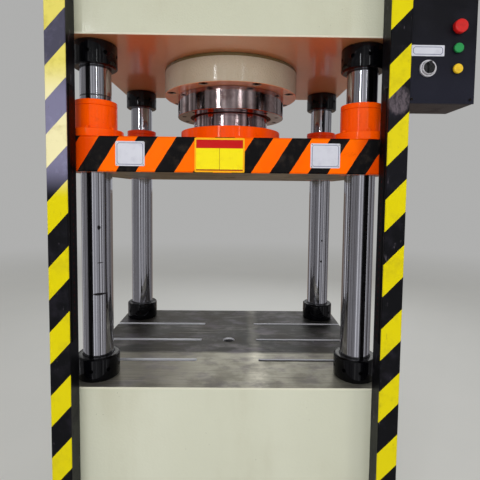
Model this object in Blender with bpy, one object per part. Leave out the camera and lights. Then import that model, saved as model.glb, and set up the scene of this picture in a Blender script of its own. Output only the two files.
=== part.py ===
"""A four-column hydraulic press: worktable beam, crown and slide on four round columns.

The press stands on the floor at Z = 0 with its centre line on the Z axis, and its front faces -Y.
All lengths are metres. The slide is modelled where it hangs a little below its upper limit.
"""

import math

import bmesh
import bpy
from mathutils import Matrix, Vector

# Fits and cuts
SEAT_GAP = 0.0003
CUT_OVERRUN = 0.010
END_CLEARANCE = 0.005
MERGE_DISTANCE = 0.000001

# Round work: facets of a slim piece, a large piece, a control, a bolt recess and a small hole
SLIM_FACETS = 16
LARGE_FACETS = 26
CONTROL_FACETS = 12
RECESS_FACETS = 8
HOLE_FACETS = 6
SHARP_ANGLE = math.radians(30)
ROUND_PROFILE_SHARE = 0.5

# Columns, with their lock rings and nuts
COLUMN_DIAMETER = 0.100
COLUMN_SPACING_X = 0.888
COLUMN_SPACING_Y = 0.614
COLUMN_STAND_OUT = 0.015
COLUMN_CHAMFER = 0.004
RING_WALL = 0.0205
RING_DIAMETER = COLUMN_DIAMETER + RING_WALL * 2
RING_HEIGHT = 0.078
RING_CHAMFER = 0.004
SPANNER_HOLES = 8
SPANNER_HOLE_DIAMETER = 0.013
SPANNER_HOLE_DEPTH = 0.014
NUT_HEIGHT = 0.080
TOP_NUT_WALL = 0.025
TOP_NUT_FLATS = COLUMN_DIAMETER + TOP_NUT_WALL * 2

# Base frame; its walls stand clear of the nuts under the worktable beam
BASE_PLATE = 0.025
BASE_WALL = 0.015
NUT_SIDE_CLEARANCE = 0.0035
NUT_FRONT_CLEARANCE = 0.010
WINDOW_WIDTH = 0.220
WINDOW_STEP = 0.050
WINDOW_TOP_RAIL = 0.105
WINDOW_CORNER = 0.025
WINDOW_OFFSET_X = 0.200
WINDOW_OFFSET_Y = 0.155

# Ejector under the table
EJECTOR_TRAVEL = 0.150
EJECTOR_ROD_DIAMETER = 0.046
EJECTOR_ANNULUS = 0.022
EJECTOR_WALL = 0.020
EJECTOR_BORE = EJECTOR_ROD_DIAMETER + EJECTOR_ANNULUS * 2
EJECTOR_BODY_DIAMETER = EJECTOR_BORE + EJECTOR_WALL * 2
EJECTOR_FLANGE_OVERHANG = 0.035
EJECTOR_FLANGE_DIAMETER = EJECTOR_BODY_DIAMETER + EJECTOR_FLANGE_OVERHANG * 2
EJECTOR_FLANGE_HEIGHT = 0.025
EJECTOR_FLOOR = 0.025
EJECTOR_GLAND_HEIGHT = 0.034
EJECTOR_PISTON_HEIGHT = 0.040
EJECTOR_SHOULDER = 0.008
EJECTOR_SPIGOT_DIAMETER = EJECTOR_ROD_DIAMETER - EJECTOR_SHOULDER * 2
EJECTOR_ROD_CHAMFER = 0.002
EJECTOR_SINK = 0.100
EJECTOR_GROUND_CLEARANCE = 0.0457
EJECTOR_LENGTH = (
    EJECTOR_FLOOR + END_CLEARANCE * 2 + EJECTOR_PISTON_HEIGHT + EJECTOR_TRAVEL + EJECTOR_GLAND_HEIGHT
)

# Welded beams
TABLE_BEAM_HEIGHT = 0.450
CROWN_HEIGHT = 0.400
BEAM_WIDTH = COLUMN_SPACING_X + RING_DIAMETER + (BASE_WALL + NUT_SIDE_CLEARANCE) * 2
BEAM_DEPTH = COLUMN_SPACING_Y + RING_DIAMETER + (BASE_WALL + NUT_FRONT_CLEARANCE) * 2
BEAM_EDGE = 0.004

# T-slots, from each side of the table to short of its centre
SLOT_TO_COLUMN = 0.112
SLOT_SPACING = COLUMN_SPACING_Y / 2 - SLOT_TO_COLUMN
SLOT_NECK_WIDTH = 0.022
SLOT_NECK_DEPTH = 0.024
SLOT_FOOT_WIDTH = 0.037
SLOT_FOOT_DEPTH = 0.016
SLOTS_PER_SIDE = 3
SLOT_TO_CENTRE_HOLE = 0.092
EJECTOR_ROD_CLEARANCE = 0.002
CENTRE_HOLE_DIAMETER = EJECTOR_ROD_DIAMETER + EJECTOR_ROD_CLEARANCE * 2
SLOT_INNER_END = CENTRE_HOLE_DIAMETER / 2 + SLOT_TO_CENTRE_HOLE

# Main cylinder, from the rod outwards
RAM_DOWN_TRAVEL = 0.500
RAM_UP_TRAVEL = 0.050
ROD_DIAMETER = 0.301
ROD_ANNULUS = 0.0195
BARREL_BORE = ROD_DIAMETER + ROD_ANNULUS * 2
BARREL_WALL = 0.0455
BARREL_DIAMETER = BARREL_BORE + BARREL_WALL * 2
BARREL_NUT_OVERHANG = 0.0445
BARREL_NUT_DIAMETER = BARREL_DIAMETER + BARREL_NUT_OVERHANG * 2
BARREL_NUT_HEIGHT = 0.050
BARREL_NUT_CHAMFER = 0.006
FLANGE_OVERHANG = 0.052
FLANGE_DIAMETER = BARREL_DIAMETER + FLANGE_OVERHANG * 2
FLANGE_THICKNESS = 0.098
FLANGE_BOLTS = 8
FLANGE_BOLT_RECESS = 0.036
FLANGE_BOLT_RECESS_DEPTH = 0.014
FLANGE_BOLT_EDGE = 0.0035
FLANGE_BOLT_CIRCLE = FLANGE_DIAMETER - FLANGE_BOLT_RECESS - FLANGE_BOLT_EDGE * 2
FLANGE_CHAMFER = 0.003
GLAND_HEIGHT = 0.082
GLAND_SPIGOT = 0.060
GLAND_CHAMFER = 0.002
WIPER_WIDTH = 0.014
WIPER_HEIGHT = 0.012
WIPER_SINK = 0.001
SEAL_WIDTH = 0.012
SEAL_HEIGHT = 0.030
SEAL_RISE = 0.085
HEAD_THICKNESS = 0.070
HEAD_SPIGOT = 0.020
HEAD_PORT_DIAMETER = 0.045
HEAD_BOSS_WALL = 0.0425
HEAD_BOSS_DIAMETER = HEAD_PORT_DIAMETER + HEAD_BOSS_WALL * 2
HEAD_BOSS_HEIGHT = 0.035
ROD_SIDE_PORT_DIAMETER = 0.018
PISTON_SHOULDER = 0.0505
ROD_SPIGOT_DIAMETER = ROD_DIAMETER - PISTON_SHOULDER * 2
PISTON_HEIGHT = 0.130
PISTON_RING_HEIGHT = 0.020
PISTON_RING_DEPTH = 0.010
PISTON_RING_INSET = 0.022
PISTON_NUT_WALL = 0.030
PISTON_NUT_DIAMETER = ROD_SPIGOT_DIAMETER + PISTON_NUT_WALL * 2
PISTON_NUT_HEIGHT = 0.035
RAM_FLANGE_OVERHANG = 0.052
RAM_FLANGE_DIAMETER = ROD_DIAMETER + RAM_FLANGE_OVERHANG * 2
RAM_FLANGE_HEIGHT = 0.070
RAM_FLANGE_CHAMFER = 0.003
RAM_TOP_CLEARANCE = 0.0077

# Hollows in the ends of the welded beams, clear of the columns and of the barrel
POCKET_PLATE = 0.060
TABLE_TOP_PLATE = 0.080
POCKET_CORNER = 0.030
POCKET_RIB = 0.030
POCKET_TO_COLUMN = 0.042
POCKET_TO_BARREL = 0.0675
POCKET_WIDTH = (COLUMN_SPACING_Y - COLUMN_DIAMETER - POCKET_RIB) / 2 - POCKET_TO_COLUMN
POCKET_DEPTH = (BEAM_WIDTH - BARREL_DIAMETER) / 2 - POCKET_TO_BARREL

# Slide and its guide bushes
SHUT_HEIGHT = 0.194
SLIDE_THICKNESS = 0.111
SLIDE_SET_BACK = 0.005
SLIDE_DEPTH = BEAM_DEPTH - SLIDE_SET_BACK * 2
SLIDE_EDGE = 0.004
SHANK_HOLE_DIAMETER = 0.050
SHANK_HOLE_DEPTH = 0.060
BUSH_WALL = 0.0182
BUSH_DIAMETER = COLUMN_DIAMETER + BUSH_WALL * 2
BUSH_RISE = 0.120
BUSH_FLANGE_OVERHANG = 0.0203
BUSH_FLANGE_DIAMETER = BUSH_DIAMETER + BUSH_FLANGE_OVERHANG * 2
BUSH_FLANGE_HEIGHT = 0.026
BUSH_CHAMFER = 0.002
BUSH_CAP_HEIGHT = 0.017

# Guard posts with their light curtains
POST_WIDTH = 0.062
POST_DEPTH = 0.064
POST_OVERHANG = 0.001
POST_ABOVE_BEAM_FOOT = 0.050
POST_BELOW_CROWN_TOP = 0.063
POST_EDGE = 0.002
CURTAIN_WIDTH = 0.040
CURTAIN_THICKNESS = 0.014
CURTAIN_PROUD = 0.002
CURTAIN_EDGE = 0.002
CURTAIN_ABOVE_TABLE = 0.170
CURTAIN_BELOW_CROWN = 0.163

# Control box on the outer side of the right-hand post
BOX_WIDTH = 0.200
BOX_DEPTH = 0.150
BOX_HEIGHT = 0.320
BOX_WALL = 0.005
BOX_EDGE = 0.003
BOX_BELOW_CROWN = 0.208
BOX_SET_BACK = 0.019
COVER_THICKNESS = 0.004
CONTROL_INSET = 0.056
KNOB_ABOVE_BOX_FLOOR = 0.101
BUTTON_ROW_SPACING = 0.060
STEM_DIAMETER = 0.022
STEM_LENGTH = 0.024
KNOB_CLEARANCE = 0.001
KNOB_RIM = 0.008
KNOB_DIAMETER = STEM_DIAMETER + KNOB_RIM * 2
KNOB_HEIGHT = 0.014
KNOB_GRIP_WIDTH = 0.009
KNOB_GRIP_HEIGHT = 0.009
KNOB_GRIP_SINK = 0.002
BEZEL_WIDTH = 0.0045
BEZEL_DIAMETER = KNOB_DIAMETER + (KNOB_CLEARANCE + BEZEL_WIDTH) * 2
BEZEL_HEIGHT = 0.008
BEZEL_CHAMFER = 0.0015
STOP_RIM = 0.009
STOP_HEAD_DIAMETER = STEM_DIAMETER + STOP_RIM * 2
STOP_HEAD_HEIGHT = 0.014
STOP_HEAD_CHAMFER = 0.004
STOP_TRAVEL = 0.006
BUTTON_RIM = 0.003
BUTTON_HEAD_DIAMETER = STEM_DIAMETER + BUTTON_RIM * 2
BUTTON_HEAD_HEIGHT = 0.007
BUTTON_HEAD_CHAMFER = 0.002
BUTTON_TRAVEL = 0.004

# Heights worked out from the sizes above, from the floor up
TABLE_BEAM_FOOT = BASE_PLATE + EJECTOR_GROUND_CLEARANCE + EJECTOR_LENGTH + SEAT_GAP
TABLE_HEIGHT = TABLE_BEAM_FOOT + TABLE_BEAM_HEIGHT
SLIDE_FOOT = TABLE_HEIGHT + SHUT_HEIGHT + RAM_DOWN_TRAVEL
SLIDE_TOP = SLIDE_FOOT + SLIDE_THICKNESS
GLAND_FOOT = SLIDE_TOP + SEAT_GAP + RAM_FLANGE_HEIGHT + RAM_UP_TRAVEL + RAM_TOP_CLEARANCE
FLANGE_FOOT = GLAND_FOOT + GLAND_HEIGHT
CROWN_FOOT = FLANGE_FOOT + FLANGE_THICKNESS
CROWN_TOP = CROWN_FOOT + CROWN_HEIGHT
GLAND_TOP = FLANGE_FOOT + GLAND_SPIGOT
PISTON_FOOT = GLAND_TOP + END_CLEARANCE + RAM_DOWN_TRAVEL
PISTON_TOP = PISTON_FOOT + PISTON_HEIGHT
BARREL_TOP = PISTON_TOP + RAM_UP_TRAVEL + END_CLEARANCE + HEAD_SPIGOT

# Places in plan
COLUMN_RADIUS = COLUMN_DIAMETER / 2
BODY_FRONT = -BEAM_DEPTH / 2
POST_INNER_FACE = BEAM_WIDTH / 2 + POST_OVERHANG - POST_WIDTH
COLUMN_PLACES = {
    "front_left": Vector((-COLUMN_SPACING_X / 2, -COLUMN_SPACING_Y / 2, 0)),
    "front_right": Vector((COLUMN_SPACING_X / 2, -COLUMN_SPACING_Y / 2, 0)),
    "rear_left": Vector((-COLUMN_SPACING_X / 2, COLUMN_SPACING_Y / 2, 0)),
    "rear_right": Vector((COLUMN_SPACING_X / 2, COLUMN_SPACING_Y / 2, 0)),
}
CENTRE = Vector((0, 0, 0))


def finish(name, colour, roughness, metallic):
    """A Principled material in one colour."""
    made = bpy.data.materials.new(name)
    made.use_nodes = True
    shader = made.node_tree.nodes["Principled BSDF"]
    shader.inputs["Base Color"].default_value = (*colour, 1)
    shader.inputs["Roughness"].default_value = roughness
    shader.inputs["Metallic"].default_value = metallic
    made.diffuse_color = (*colour, 1)
    return made


def place(name, bm, material, origin=CENTRE):
    """Turns a bmesh modelled about its own origin into an object standing at origin."""
    bmesh.ops.recalc_face_normals(bm, faces=bm.faces)
    mesh = bpy.data.meshes.new(name)
    bm.to_mesh(mesh)
    bm.free()
    mesh.shade_smooth()
    mesh.set_sharp_from_angle(angle=SHARP_ANGLE)
    made = bpy.data.objects.new(name, mesh)
    made.location = origin
    if material:
        made.data.materials.append(material)
    bpy.context.scene.collection.objects.link(made)
    return made


def add_block(bm, low, high):
    """Adds a box between two corners and returns its vertices."""
    low = Vector(low)
    high = Vector(high)
    shape = Matrix.LocRotScale((low + high) / 2, None, high - low)
    return bmesh.ops.create_cube(bm, size=1, matrix=shape)["verts"]


def add_rounded_block(bm, low, high, corner, axis, segments=2):
    """Adds a box whose four edges along one axis (0, 1 or 2) are rounded."""
    verts = add_block(bm, low, high)
    edges = {edge for vert in verts for edge in vert.link_edges}
    directions = {edge: (edge.verts[0].co - edge.verts[1].co).normalized() for edge in edges}
    bmesh.ops.bevel(
        bm,
        geom=[edge for edge in edges if abs(directions[edge][axis]) > math.cos(SHARP_ANGLE)],
        offset=corner,
        segments=segments,
        profile=ROUND_PROFILE_SHARE,
        affect="EDGES",
        material=-1,
    )


def add_drum(bm, radius, low, high, centre=CENTRE, facets=SLIM_FACETS):
    """Adds an upright cylinder, with a vertex on its +X side."""
    middle = Vector((centre[0], centre[1], (low + high) / 2))
    first_vertex = Matrix.Rotation(math.tau / 4, 4, "Z")
    bmesh.ops.create_cone(
        bm,
        cap_ends=True,
        segments=facets,
        radius1=radius,
        radius2=radius,
        depth=high - low,
        matrix=Matrix.Translation(middle) @ first_vertex,
    )


def add_cross_drum(bm, radius, inner, outer, height, angle, facets=HOLE_FACETS):
    """Adds a horizontal cylinder that runs outward from the Z axis at an angle."""
    middle = Matrix.Translation(((inner + outer) / 2, 0, height))
    lying = Matrix.Rotation(math.tau / 4, 4, "Y")
    bmesh.ops.create_cone(
        bm,
        cap_ends=True,
        segments=facets,
        radius1=radius,
        radius2=radius,
        depth=outer - inner,
        matrix=Matrix.Rotation(angle, 4, "Z") @ middle @ lying,
    )


def turned_bmesh(profile, facets):
    """A bmesh spun about Z from (radius, height) points; an outline off the axis is closed into a ring."""
    bm = bmesh.new()
    points = [bm.verts.new((radius, 0, height)) for radius, height in profile]
    ends = list(zip(points, points[1:]))
    if profile[0][0] > 0:
        ends.append((points[-1], points[0]))
    edges = [bm.edges.new(pair) for pair in ends]
    bmesh.ops.spin(
        bm,
        geom=points + edges,
        axis=(0, 0, 1),
        cent=(0, 0, 0),
        angle=math.tau,
        steps=facets,
        use_merge=True,
    )
    bmesh.ops.remove_doubles(bm, verts=bm.verts, dist=MERGE_DISTANCE)
    return bm


def turned(name, profile, material, origin=CENTRE, facets=SLIM_FACETS):
    """A turned piece about an upright axis."""
    return place(name, turned_bmesh(profile, facets), material, origin)


def cut(target, bm, label):
    """Takes the shapes in bm out of target; bm is in the target's own coordinates."""
    cutter = place(f"{target.name}_{label}_cutter", bm, None, target.location)
    cutter.hide_render = True
    cutter.display_type = "WIRE"
    modifier = target.modifiers.new(label, "BOOLEAN")
    modifier.operation = "DIFFERENCE"
    modifier.solver = "EXACT"
    modifier.object = cutter
    return cutter


def soften(target, width):
    """Breaks every sharp edge of a plain block."""
    modifier = target.modifiers.new("edge_break", "BEVEL")
    modifier.width = width
    modifier.segments = 1
    modifier.limit_method = "ANGLE"
    modifier.angle_limit = SHARP_ANGLE


def column_bores(radius, low, high):
    """Four upright drums on the column centres."""
    bm = bmesh.new()
    for centre in COLUMN_PLACES.values():
        add_drum(bm, radius, low, high, centre)
    return bm


def end_pockets(floor, ceiling):
    """Hollows in the two ends of a beam, a pair each side, with a rib between them."""
    bm = bmesh.new()
    outside = BEAM_WIDTH / 2 + CUT_OVERRUN
    inside = BEAM_WIDTH / 2 - POCKET_DEPTH
    for side in (-1, 1):
        for row in (-1, 1):
            across = sorted((side * inside, side * outside))
            along = sorted((row * POCKET_RIB / 2, row * (POCKET_RIB / 2 + POCKET_WIDTH)))
            low = (across[0], along[0], floor)
            high = (across[1], along[1], ceiling)
            add_rounded_block(bm, low, high, POCKET_CORNER, axis=0)
    return bm


def table_slots():
    """T-slots that run in from both sides of the table and stop short of its centre."""
    bm = bmesh.new()
    neck = SLOT_NECK_WIDTH / 2
    foot = SLOT_FOOT_WIDTH / 2
    outline = [
        (-neck, CUT_OVERRUN),
        (-neck, -SLOT_NECK_DEPTH),
        (-foot, -SLOT_NECK_DEPTH),
        (-foot, -SLOT_NECK_DEPTH - SLOT_FOOT_DEPTH),
        (foot, -SLOT_NECK_DEPTH - SLOT_FOOT_DEPTH),
        (foot, -SLOT_NECK_DEPTH),
        (neck, -SLOT_NECK_DEPTH),
        (neck, CUT_OVERRUN),
    ]
    length = BEAM_WIDTH / 2 + CUT_OVERRUN - SLOT_INNER_END
    for side in (-1, 1):
        for row in range(SLOTS_PER_SIDE):
            middle = (row - (SLOTS_PER_SIDE - 1) / 2) * SLOT_SPACING
            start = side * SLOT_INNER_END
            face = bm.faces.new([bm.verts.new((start, middle + y, TABLE_HEIGHT + z)) for y, z in outline])
            grown = bmesh.ops.extrude_face_region(bm, geom=[face], use_keep_orig=True)["geom"]
            moved = [item for item in grown if isinstance(item, bmesh.types.BMVert)]
            bmesh.ops.translate(bm, verts=moved, vec=(side * length, 0, 0))
    return bm


def make_worktable_beam(paint):
    """Lower beam with a slotted top, four column bores and the ejector's hole."""
    bm = bmesh.new()
    low = (-BEAM_WIDTH / 2, -BEAM_DEPTH / 2, TABLE_BEAM_FOOT)
    high = (BEAM_WIDTH / 2, BEAM_DEPTH / 2, TABLE_HEIGHT)
    add_block(bm, low, high)
    beam = place("worktable_beam", bm, paint)
    soften(beam, BEAM_EDGE)
    below = TABLE_BEAM_FOOT - CUT_OVERRUN
    above = TABLE_HEIGHT + CUT_OVERRUN
    bores = column_bores(COLUMN_RADIUS + SEAT_GAP, below, above)
    add_drum(bores, CENTRE_HOLE_DIAMETER / 2, below, above)
    cut(beam, bores, "bores")
    cut(beam, end_pockets(TABLE_BEAM_FOOT + POCKET_PLATE, TABLE_HEIGHT - TABLE_TOP_PLATE), "pockets")
    cut(beam, table_slots(), "slots")
    return beam


def make_crown_beam(paint):
    """Upper beam, bored for the columns and for the cylinder's barrel."""
    bm = bmesh.new()
    low = (-BEAM_WIDTH / 2, -BEAM_DEPTH / 2, CROWN_FOOT)
    high = (BEAM_WIDTH / 2, BEAM_DEPTH / 2, CROWN_TOP)
    add_block(bm, low, high)
    beam = place("crown_beam", bm, paint)
    soften(beam, BEAM_EDGE)
    below = CROWN_FOOT - CUT_OVERRUN
    above = CROWN_TOP + CUT_OVERRUN
    bores = column_bores(COLUMN_RADIUS + SEAT_GAP, below, above)
    add_drum(bores, BARREL_DIAMETER / 2 + SEAT_GAP, below, above, facets=LARGE_FACETS)
    cut(beam, bores, "bores")
    cut(beam, end_pockets(CROWN_FOOT + POCKET_PLATE, CROWN_TOP - POCKET_PLATE), "pockets")
    return beam


def make_base_frame(paint):
    """Open-topped pedestal under the worktable beam, with hand windows in its walls."""
    top = TABLE_BEAM_FOOT - SEAT_GAP
    half_width = BEAM_WIDTH / 2
    half_depth = BEAM_DEPTH / 2
    bm = bmesh.new()
    add_block(bm, (-half_width, -half_depth, 0), (half_width, half_depth, top))
    frame = place("base_frame", bm, paint)
    soften(frame, BEAM_EDGE)
    hollow = bmesh.new()
    inner_x = half_width - BASE_WALL
    inner_y = half_depth - BASE_WALL
    add_rounded_block(
        hollow,
        (-inner_x, -inner_y, BASE_PLATE),
        (inner_x, inner_y, top + CUT_OVERRUN),
        BASE_WALL,
        axis=2,
    )
    cut(frame, hollow, "hollow")
    sill = BASE_PLATE + WINDOW_STEP
    lintel = TABLE_BEAM_FOOT - WINDOW_TOP_RAIL
    half_window = WINDOW_WIDTH / 2
    for label, row in (("front", -1), ("rear", 1)):
        windows = bmesh.new()
        along = sorted((row * (inner_y - CUT_OVERRUN), row * (half_depth + CUT_OVERRUN)))
        for middle in (-WINDOW_OFFSET_X, WINDOW_OFFSET_X):
            low = (middle - half_window, along[0], sill)
            high = (middle + half_window, along[1], lintel)
            add_rounded_block(windows, low, high, WINDOW_CORNER, axis=1)
        cut(frame, windows, f"{label}_windows")
    for label, side in (("left", -1), ("right", 1)):
        windows = bmesh.new()
        across = sorted((side * (inner_x - CUT_OVERRUN), side * (half_width + CUT_OVERRUN)))
        for middle in (-WINDOW_OFFSET_Y, WINDOW_OFFSET_Y):
            low = (across[0], middle - half_window, sill)
            high = (across[1], middle + half_window, lintel)
            add_rounded_block(windows, low, high, WINDOW_CORNER, axis=0)
        cut(frame, windows, f"{label}_windows")
    return frame


def ring_section(inner, outer, low, high):
    """A plain ring's square section."""
    return [(inner, low), (outer, low), (outer, high), (inner, high)]


def chamfered_section(inner, outer, low, high, chamfer):
    """A ring's section with both outer corners chamfered."""
    return [
        (inner, low),
        (outer - chamfer, low),
        (outer, low + chamfer),
        (outer, high - chamfer),
        (outer - chamfer, high),
        (inner, high),
    ]


def make_columns(chrome):
    """Four ground columns, threaded at their ends and chamfered."""
    foot = TABLE_BEAM_FOOT - SEAT_GAP - NUT_HEIGHT - COLUMN_STAND_OUT
    head = CROWN_TOP + SEAT_GAP + NUT_HEIGHT + COLUMN_STAND_OUT
    profile = [
        (0, foot),
        (COLUMN_RADIUS - COLUMN_CHAMFER, foot),
        (COLUMN_RADIUS, foot + COLUMN_CHAMFER),
        (COLUMN_RADIUS, head - COLUMN_CHAMFER),
        (COLUMN_RADIUS - COLUMN_CHAMFER, head),
        (0, head),
    ]
    for corner, centre in COLUMN_PLACES.items():
        turned(f"column_{corner}", profile, chrome, centre)


def spanner_holes():
    """Radial drillings round a lock ring, for a pin spanner."""
    bm = bmesh.new()
    outer = RING_DIAMETER / 2
    for step in range(SPANNER_HOLES):
        angle = math.tau * step / SPANNER_HOLES + math.tau / 4
        add_cross_drum(
            bm,
            SPANNER_HOLE_DIAMETER / 2,
            outer - SPANNER_HOLE_DEPTH,
            outer + CUT_OVERRUN,
            RING_HEIGHT / 2,
            angle,
        )
    return bm


def make_lock_rings(black):
    """Round lock rings: one on the table and one under the crown, on every column."""
    profile = chamfered_section(COLUMN_RADIUS + SEAT_GAP, RING_DIAMETER / 2, 0, RING_HEIGHT, RING_CHAMFER)
    levels = {
        "lower": TABLE_HEIGHT + SEAT_GAP,
        "upper": CROWN_FOOT - SEAT_GAP - RING_HEIGHT,
    }
    for level, height in levels.items():
        for corner, centre in COLUMN_PLACES.items():
            seat = centre + Vector((0, 0, height))
            ring = turned(f"{level}_lock_ring_{corner}", profile, black, seat)
            cut(ring, spanner_holes(), "spanner_holes")


def make_column_nuts(black):
    """Round nuts under the worktable beam and hexagon nuts on the crown."""
    inner = COLUMN_RADIUS + SEAT_GAP
    outer = RING_DIAMETER / 2
    profile = ring_section(inner, outer, 0, NUT_HEIGHT)
    for corner, centre in COLUMN_PLACES.items():
        seat = centre + Vector((0, 0, TABLE_BEAM_FOOT - SEAT_GAP - NUT_HEIGHT))
        turned(f"bottom_nut_{corner}", profile, black, seat)
    corner_radius = TOP_NUT_FLATS / 2 / math.cos(math.tau / 12)
    for corner, centre in COLUMN_PLACES.items():
        bm = bmesh.new()
        add_drum(bm, corner_radius, 0, NUT_HEIGHT, facets=6)
        nut = place(f"top_nut_{corner}", bm, black, centre + Vector((0, 0, CROWN_TOP + SEAT_GAP)))
        soften(nut, RING_CHAMFER)
        bore = bmesh.new()
        add_drum(bore, inner, -CUT_OVERRUN, NUT_HEIGHT + CUT_OVERRUN)
        cut(nut, bore, "bore")


def flange_bolt_recesses():
    """Round recesses for the bolt heads under the mounting flange."""
    bm = bmesh.new()
    radius = FLANGE_BOLT_CIRCLE / 2
    for step in range(FLANGE_BOLTS):
        angle = math.tau * (step + 1 / 2) / FLANGE_BOLTS
        centre = (radius * math.cos(angle), radius * math.sin(angle))
        low = FLANGE_FOOT - CUT_OVERRUN
        high = FLANGE_FOOT + FLANGE_BOLT_RECESS_DEPTH
        add_drum(bm, FLANGE_BOLT_RECESS / 2, low, high, centre, RECESS_FACETS)
    return bm


def make_cylinder(paint, steel):
    """Barrel with its mounting flange under the crown, its nut above it, the gland and the head."""
    bore = BARREL_BORE / 2
    outside = BARREL_DIAMETER / 2
    flange = FLANGE_DIAMETER / 2
    flange_top = CROWN_FOOT - SEAT_GAP
    profile = [
        (bore, FLANGE_FOOT),
        (flange - FLANGE_CHAMFER, FLANGE_FOOT),
        (flange, FLANGE_FOOT + FLANGE_CHAMFER),
        (flange, flange_top),
        (outside, flange_top),
        (outside, BARREL_TOP),
        (bore, BARREL_TOP),
    ]
    barrel = turned("cylinder_barrel", profile, paint, facets=LARGE_FACETS)
    cut(barrel, flange_bolt_recesses(), "bolt_recesses")
    port = bmesh.new()
    port_height = (GLAND_TOP + flange_top) / 2
    reach = flange + CUT_OVERRUN
    add_cross_drum(port, ROD_SIDE_PORT_DIAMETER / 2, bore - CUT_OVERRUN, reach, port_height, math.tau / 4)
    cut(barrel, port, "rod_side_port")

    nut_foot = CROWN_TOP + SEAT_GAP
    nut = chamfered_section(
        outside + SEAT_GAP,
        BARREL_NUT_DIAMETER / 2,
        nut_foot,
        nut_foot + BARREL_NUT_HEIGHT,
        BARREL_NUT_CHAMFER,
    )
    turned("barrel_nut", nut, steel, facets=LARGE_FACETS)

    rod = ROD_DIAMETER / 2 + SEAT_GAP
    spigot = bore - SEAT_GAP
    top = FLANGE_FOOT - SEAT_GAP
    seal_foot = GLAND_FOOT + SEAL_RISE
    profile = [
        (rod + WIPER_WIDTH, GLAND_FOOT),
        (outside - GLAND_CHAMFER, GLAND_FOOT),
        (outside, GLAND_FOOT + GLAND_CHAMFER),
        (outside, top),
        (spigot, top),
        (spigot, GLAND_TOP),
        (rod, GLAND_TOP),
        (rod, seal_foot + SEAL_HEIGHT),
        (rod + SEAL_WIDTH, seal_foot + SEAL_HEIGHT),
        (rod + SEAL_WIDTH, seal_foot),
        (rod, seal_foot),
        (rod, GLAND_FOOT + WIPER_HEIGHT),
        (rod + WIPER_WIDTH, GLAND_FOOT + WIPER_HEIGHT),
    ]
    turned("cylinder_gland", profile, steel, facets=LARGE_FACETS)

    head_foot = BARREL_TOP + SEAT_GAP
    head_top = head_foot + HEAD_THICKNESS
    profile = [
        (HEAD_PORT_DIAMETER / 2, BARREL_TOP - HEAD_SPIGOT),
        (spigot, BARREL_TOP - HEAD_SPIGOT),
        (spigot, head_foot),
        (outside, head_foot),
        (outside, head_top - FLANGE_CHAMFER),
        (outside - FLANGE_CHAMFER, head_top),
        (HEAD_BOSS_DIAMETER / 2, head_top),
        (HEAD_BOSS_DIAMETER / 2, head_top + HEAD_BOSS_HEIGHT),
        (HEAD_PORT_DIAMETER / 2, head_top + HEAD_BOSS_HEIGHT),
    ]
    turned("cylinder_head", profile, paint, facets=LARGE_FACETS)


def make_rod_seals(rubber):
    """The gland's pressure seal and the wiper that shows round the rod."""
    rod = ROD_DIAMETER / 2 + SEAT_GAP
    low = GLAND_FOOT + SEAL_RISE + SEAT_GAP
    high = GLAND_FOOT + SEAL_RISE + SEAL_HEIGHT - SEAT_GAP
    outer = rod + SEAL_WIDTH - SEAT_GAP
    turned("rod_seal", ring_section(rod, outer, low, high), rubber, facets=LARGE_FACETS)
    low = GLAND_FOOT + WIPER_SINK
    high = GLAND_FOOT + WIPER_HEIGHT - SEAT_GAP
    outer = rod + WIPER_WIDTH - SEAT_GAP
    turned("rod_wiper", ring_section(rod, outer, low, high), rubber, facets=LARGE_FACETS)


def make_ram(chrome, steel, rubber, paint):
    """Rod, piston, its two rings and its nut, and the flange that holds the rod to the slide."""
    rod = ROD_DIAMETER / 2
    spigot = ROD_SPIGOT_DIAMETER / 2
    foot = SLIDE_TOP + SEAT_GAP
    shoulder = PISTON_FOOT - SEAT_GAP
    profile = [
        (0, foot),
        (rod, foot),
        (rod, shoulder),
        (spigot - SEAT_GAP, shoulder),
        (spigot - SEAT_GAP, PISTON_TOP),
        (0, PISTON_TOP),
    ]
    turned("piston_rod", profile, chrome, facets=LARGE_FACETS)

    skirt = BARREL_BORE / 2 - SEAT_GAP * 2
    groove = skirt - PISTON_RING_DEPTH
    lower = PISTON_FOOT + PISTON_RING_INSET
    upper = PISTON_TOP - PISTON_RING_INSET - PISTON_RING_HEIGHT
    nut_floor = PISTON_TOP - PISTON_NUT_HEIGHT
    profile = [
        (spigot, PISTON_FOOT),
        (skirt, PISTON_FOOT),
        (skirt, lower),
        (groove, lower),
        (groove, lower + PISTON_RING_HEIGHT),
        (skirt, lower + PISTON_RING_HEIGHT),
        (skirt, upper),
        (groove, upper),
        (groove, upper + PISTON_RING_HEIGHT),
        (skirt, upper + PISTON_RING_HEIGHT),
        (skirt, PISTON_TOP),
        (PISTON_NUT_DIAMETER / 2 + SEAT_GAP, PISTON_TOP),
        (PISTON_NUT_DIAMETER / 2 + SEAT_GAP, nut_floor),
        (spigot, nut_floor),
    ]
    turned("piston", profile, steel, facets=LARGE_FACETS)
    for name, low in (("piston_ring_lower", lower), ("piston_ring_upper", upper)):
        section = ring_section(
            groove + SEAT_GAP,
            BARREL_BORE / 2 - SEAT_GAP,
            low + SEAT_GAP,
            low + PISTON_RING_HEIGHT - SEAT_GAP,
        )
        turned(name, section, rubber, facets=LARGE_FACETS)
    section = ring_section(spigot, PISTON_NUT_DIAMETER / 2, nut_floor + SEAT_GAP, PISTON_TOP)
    turned("piston_nut", section, steel, facets=LARGE_FACETS)

    section = chamfered_section(
        rod + SEAT_GAP,
        RAM_FLANGE_DIAMETER / 2,
        foot,
        foot + RAM_FLANGE_HEIGHT,
        RAM_FLANGE_CHAMFER,
    )
    turned("ram_flange", section, paint, facets=LARGE_FACETS)


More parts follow.
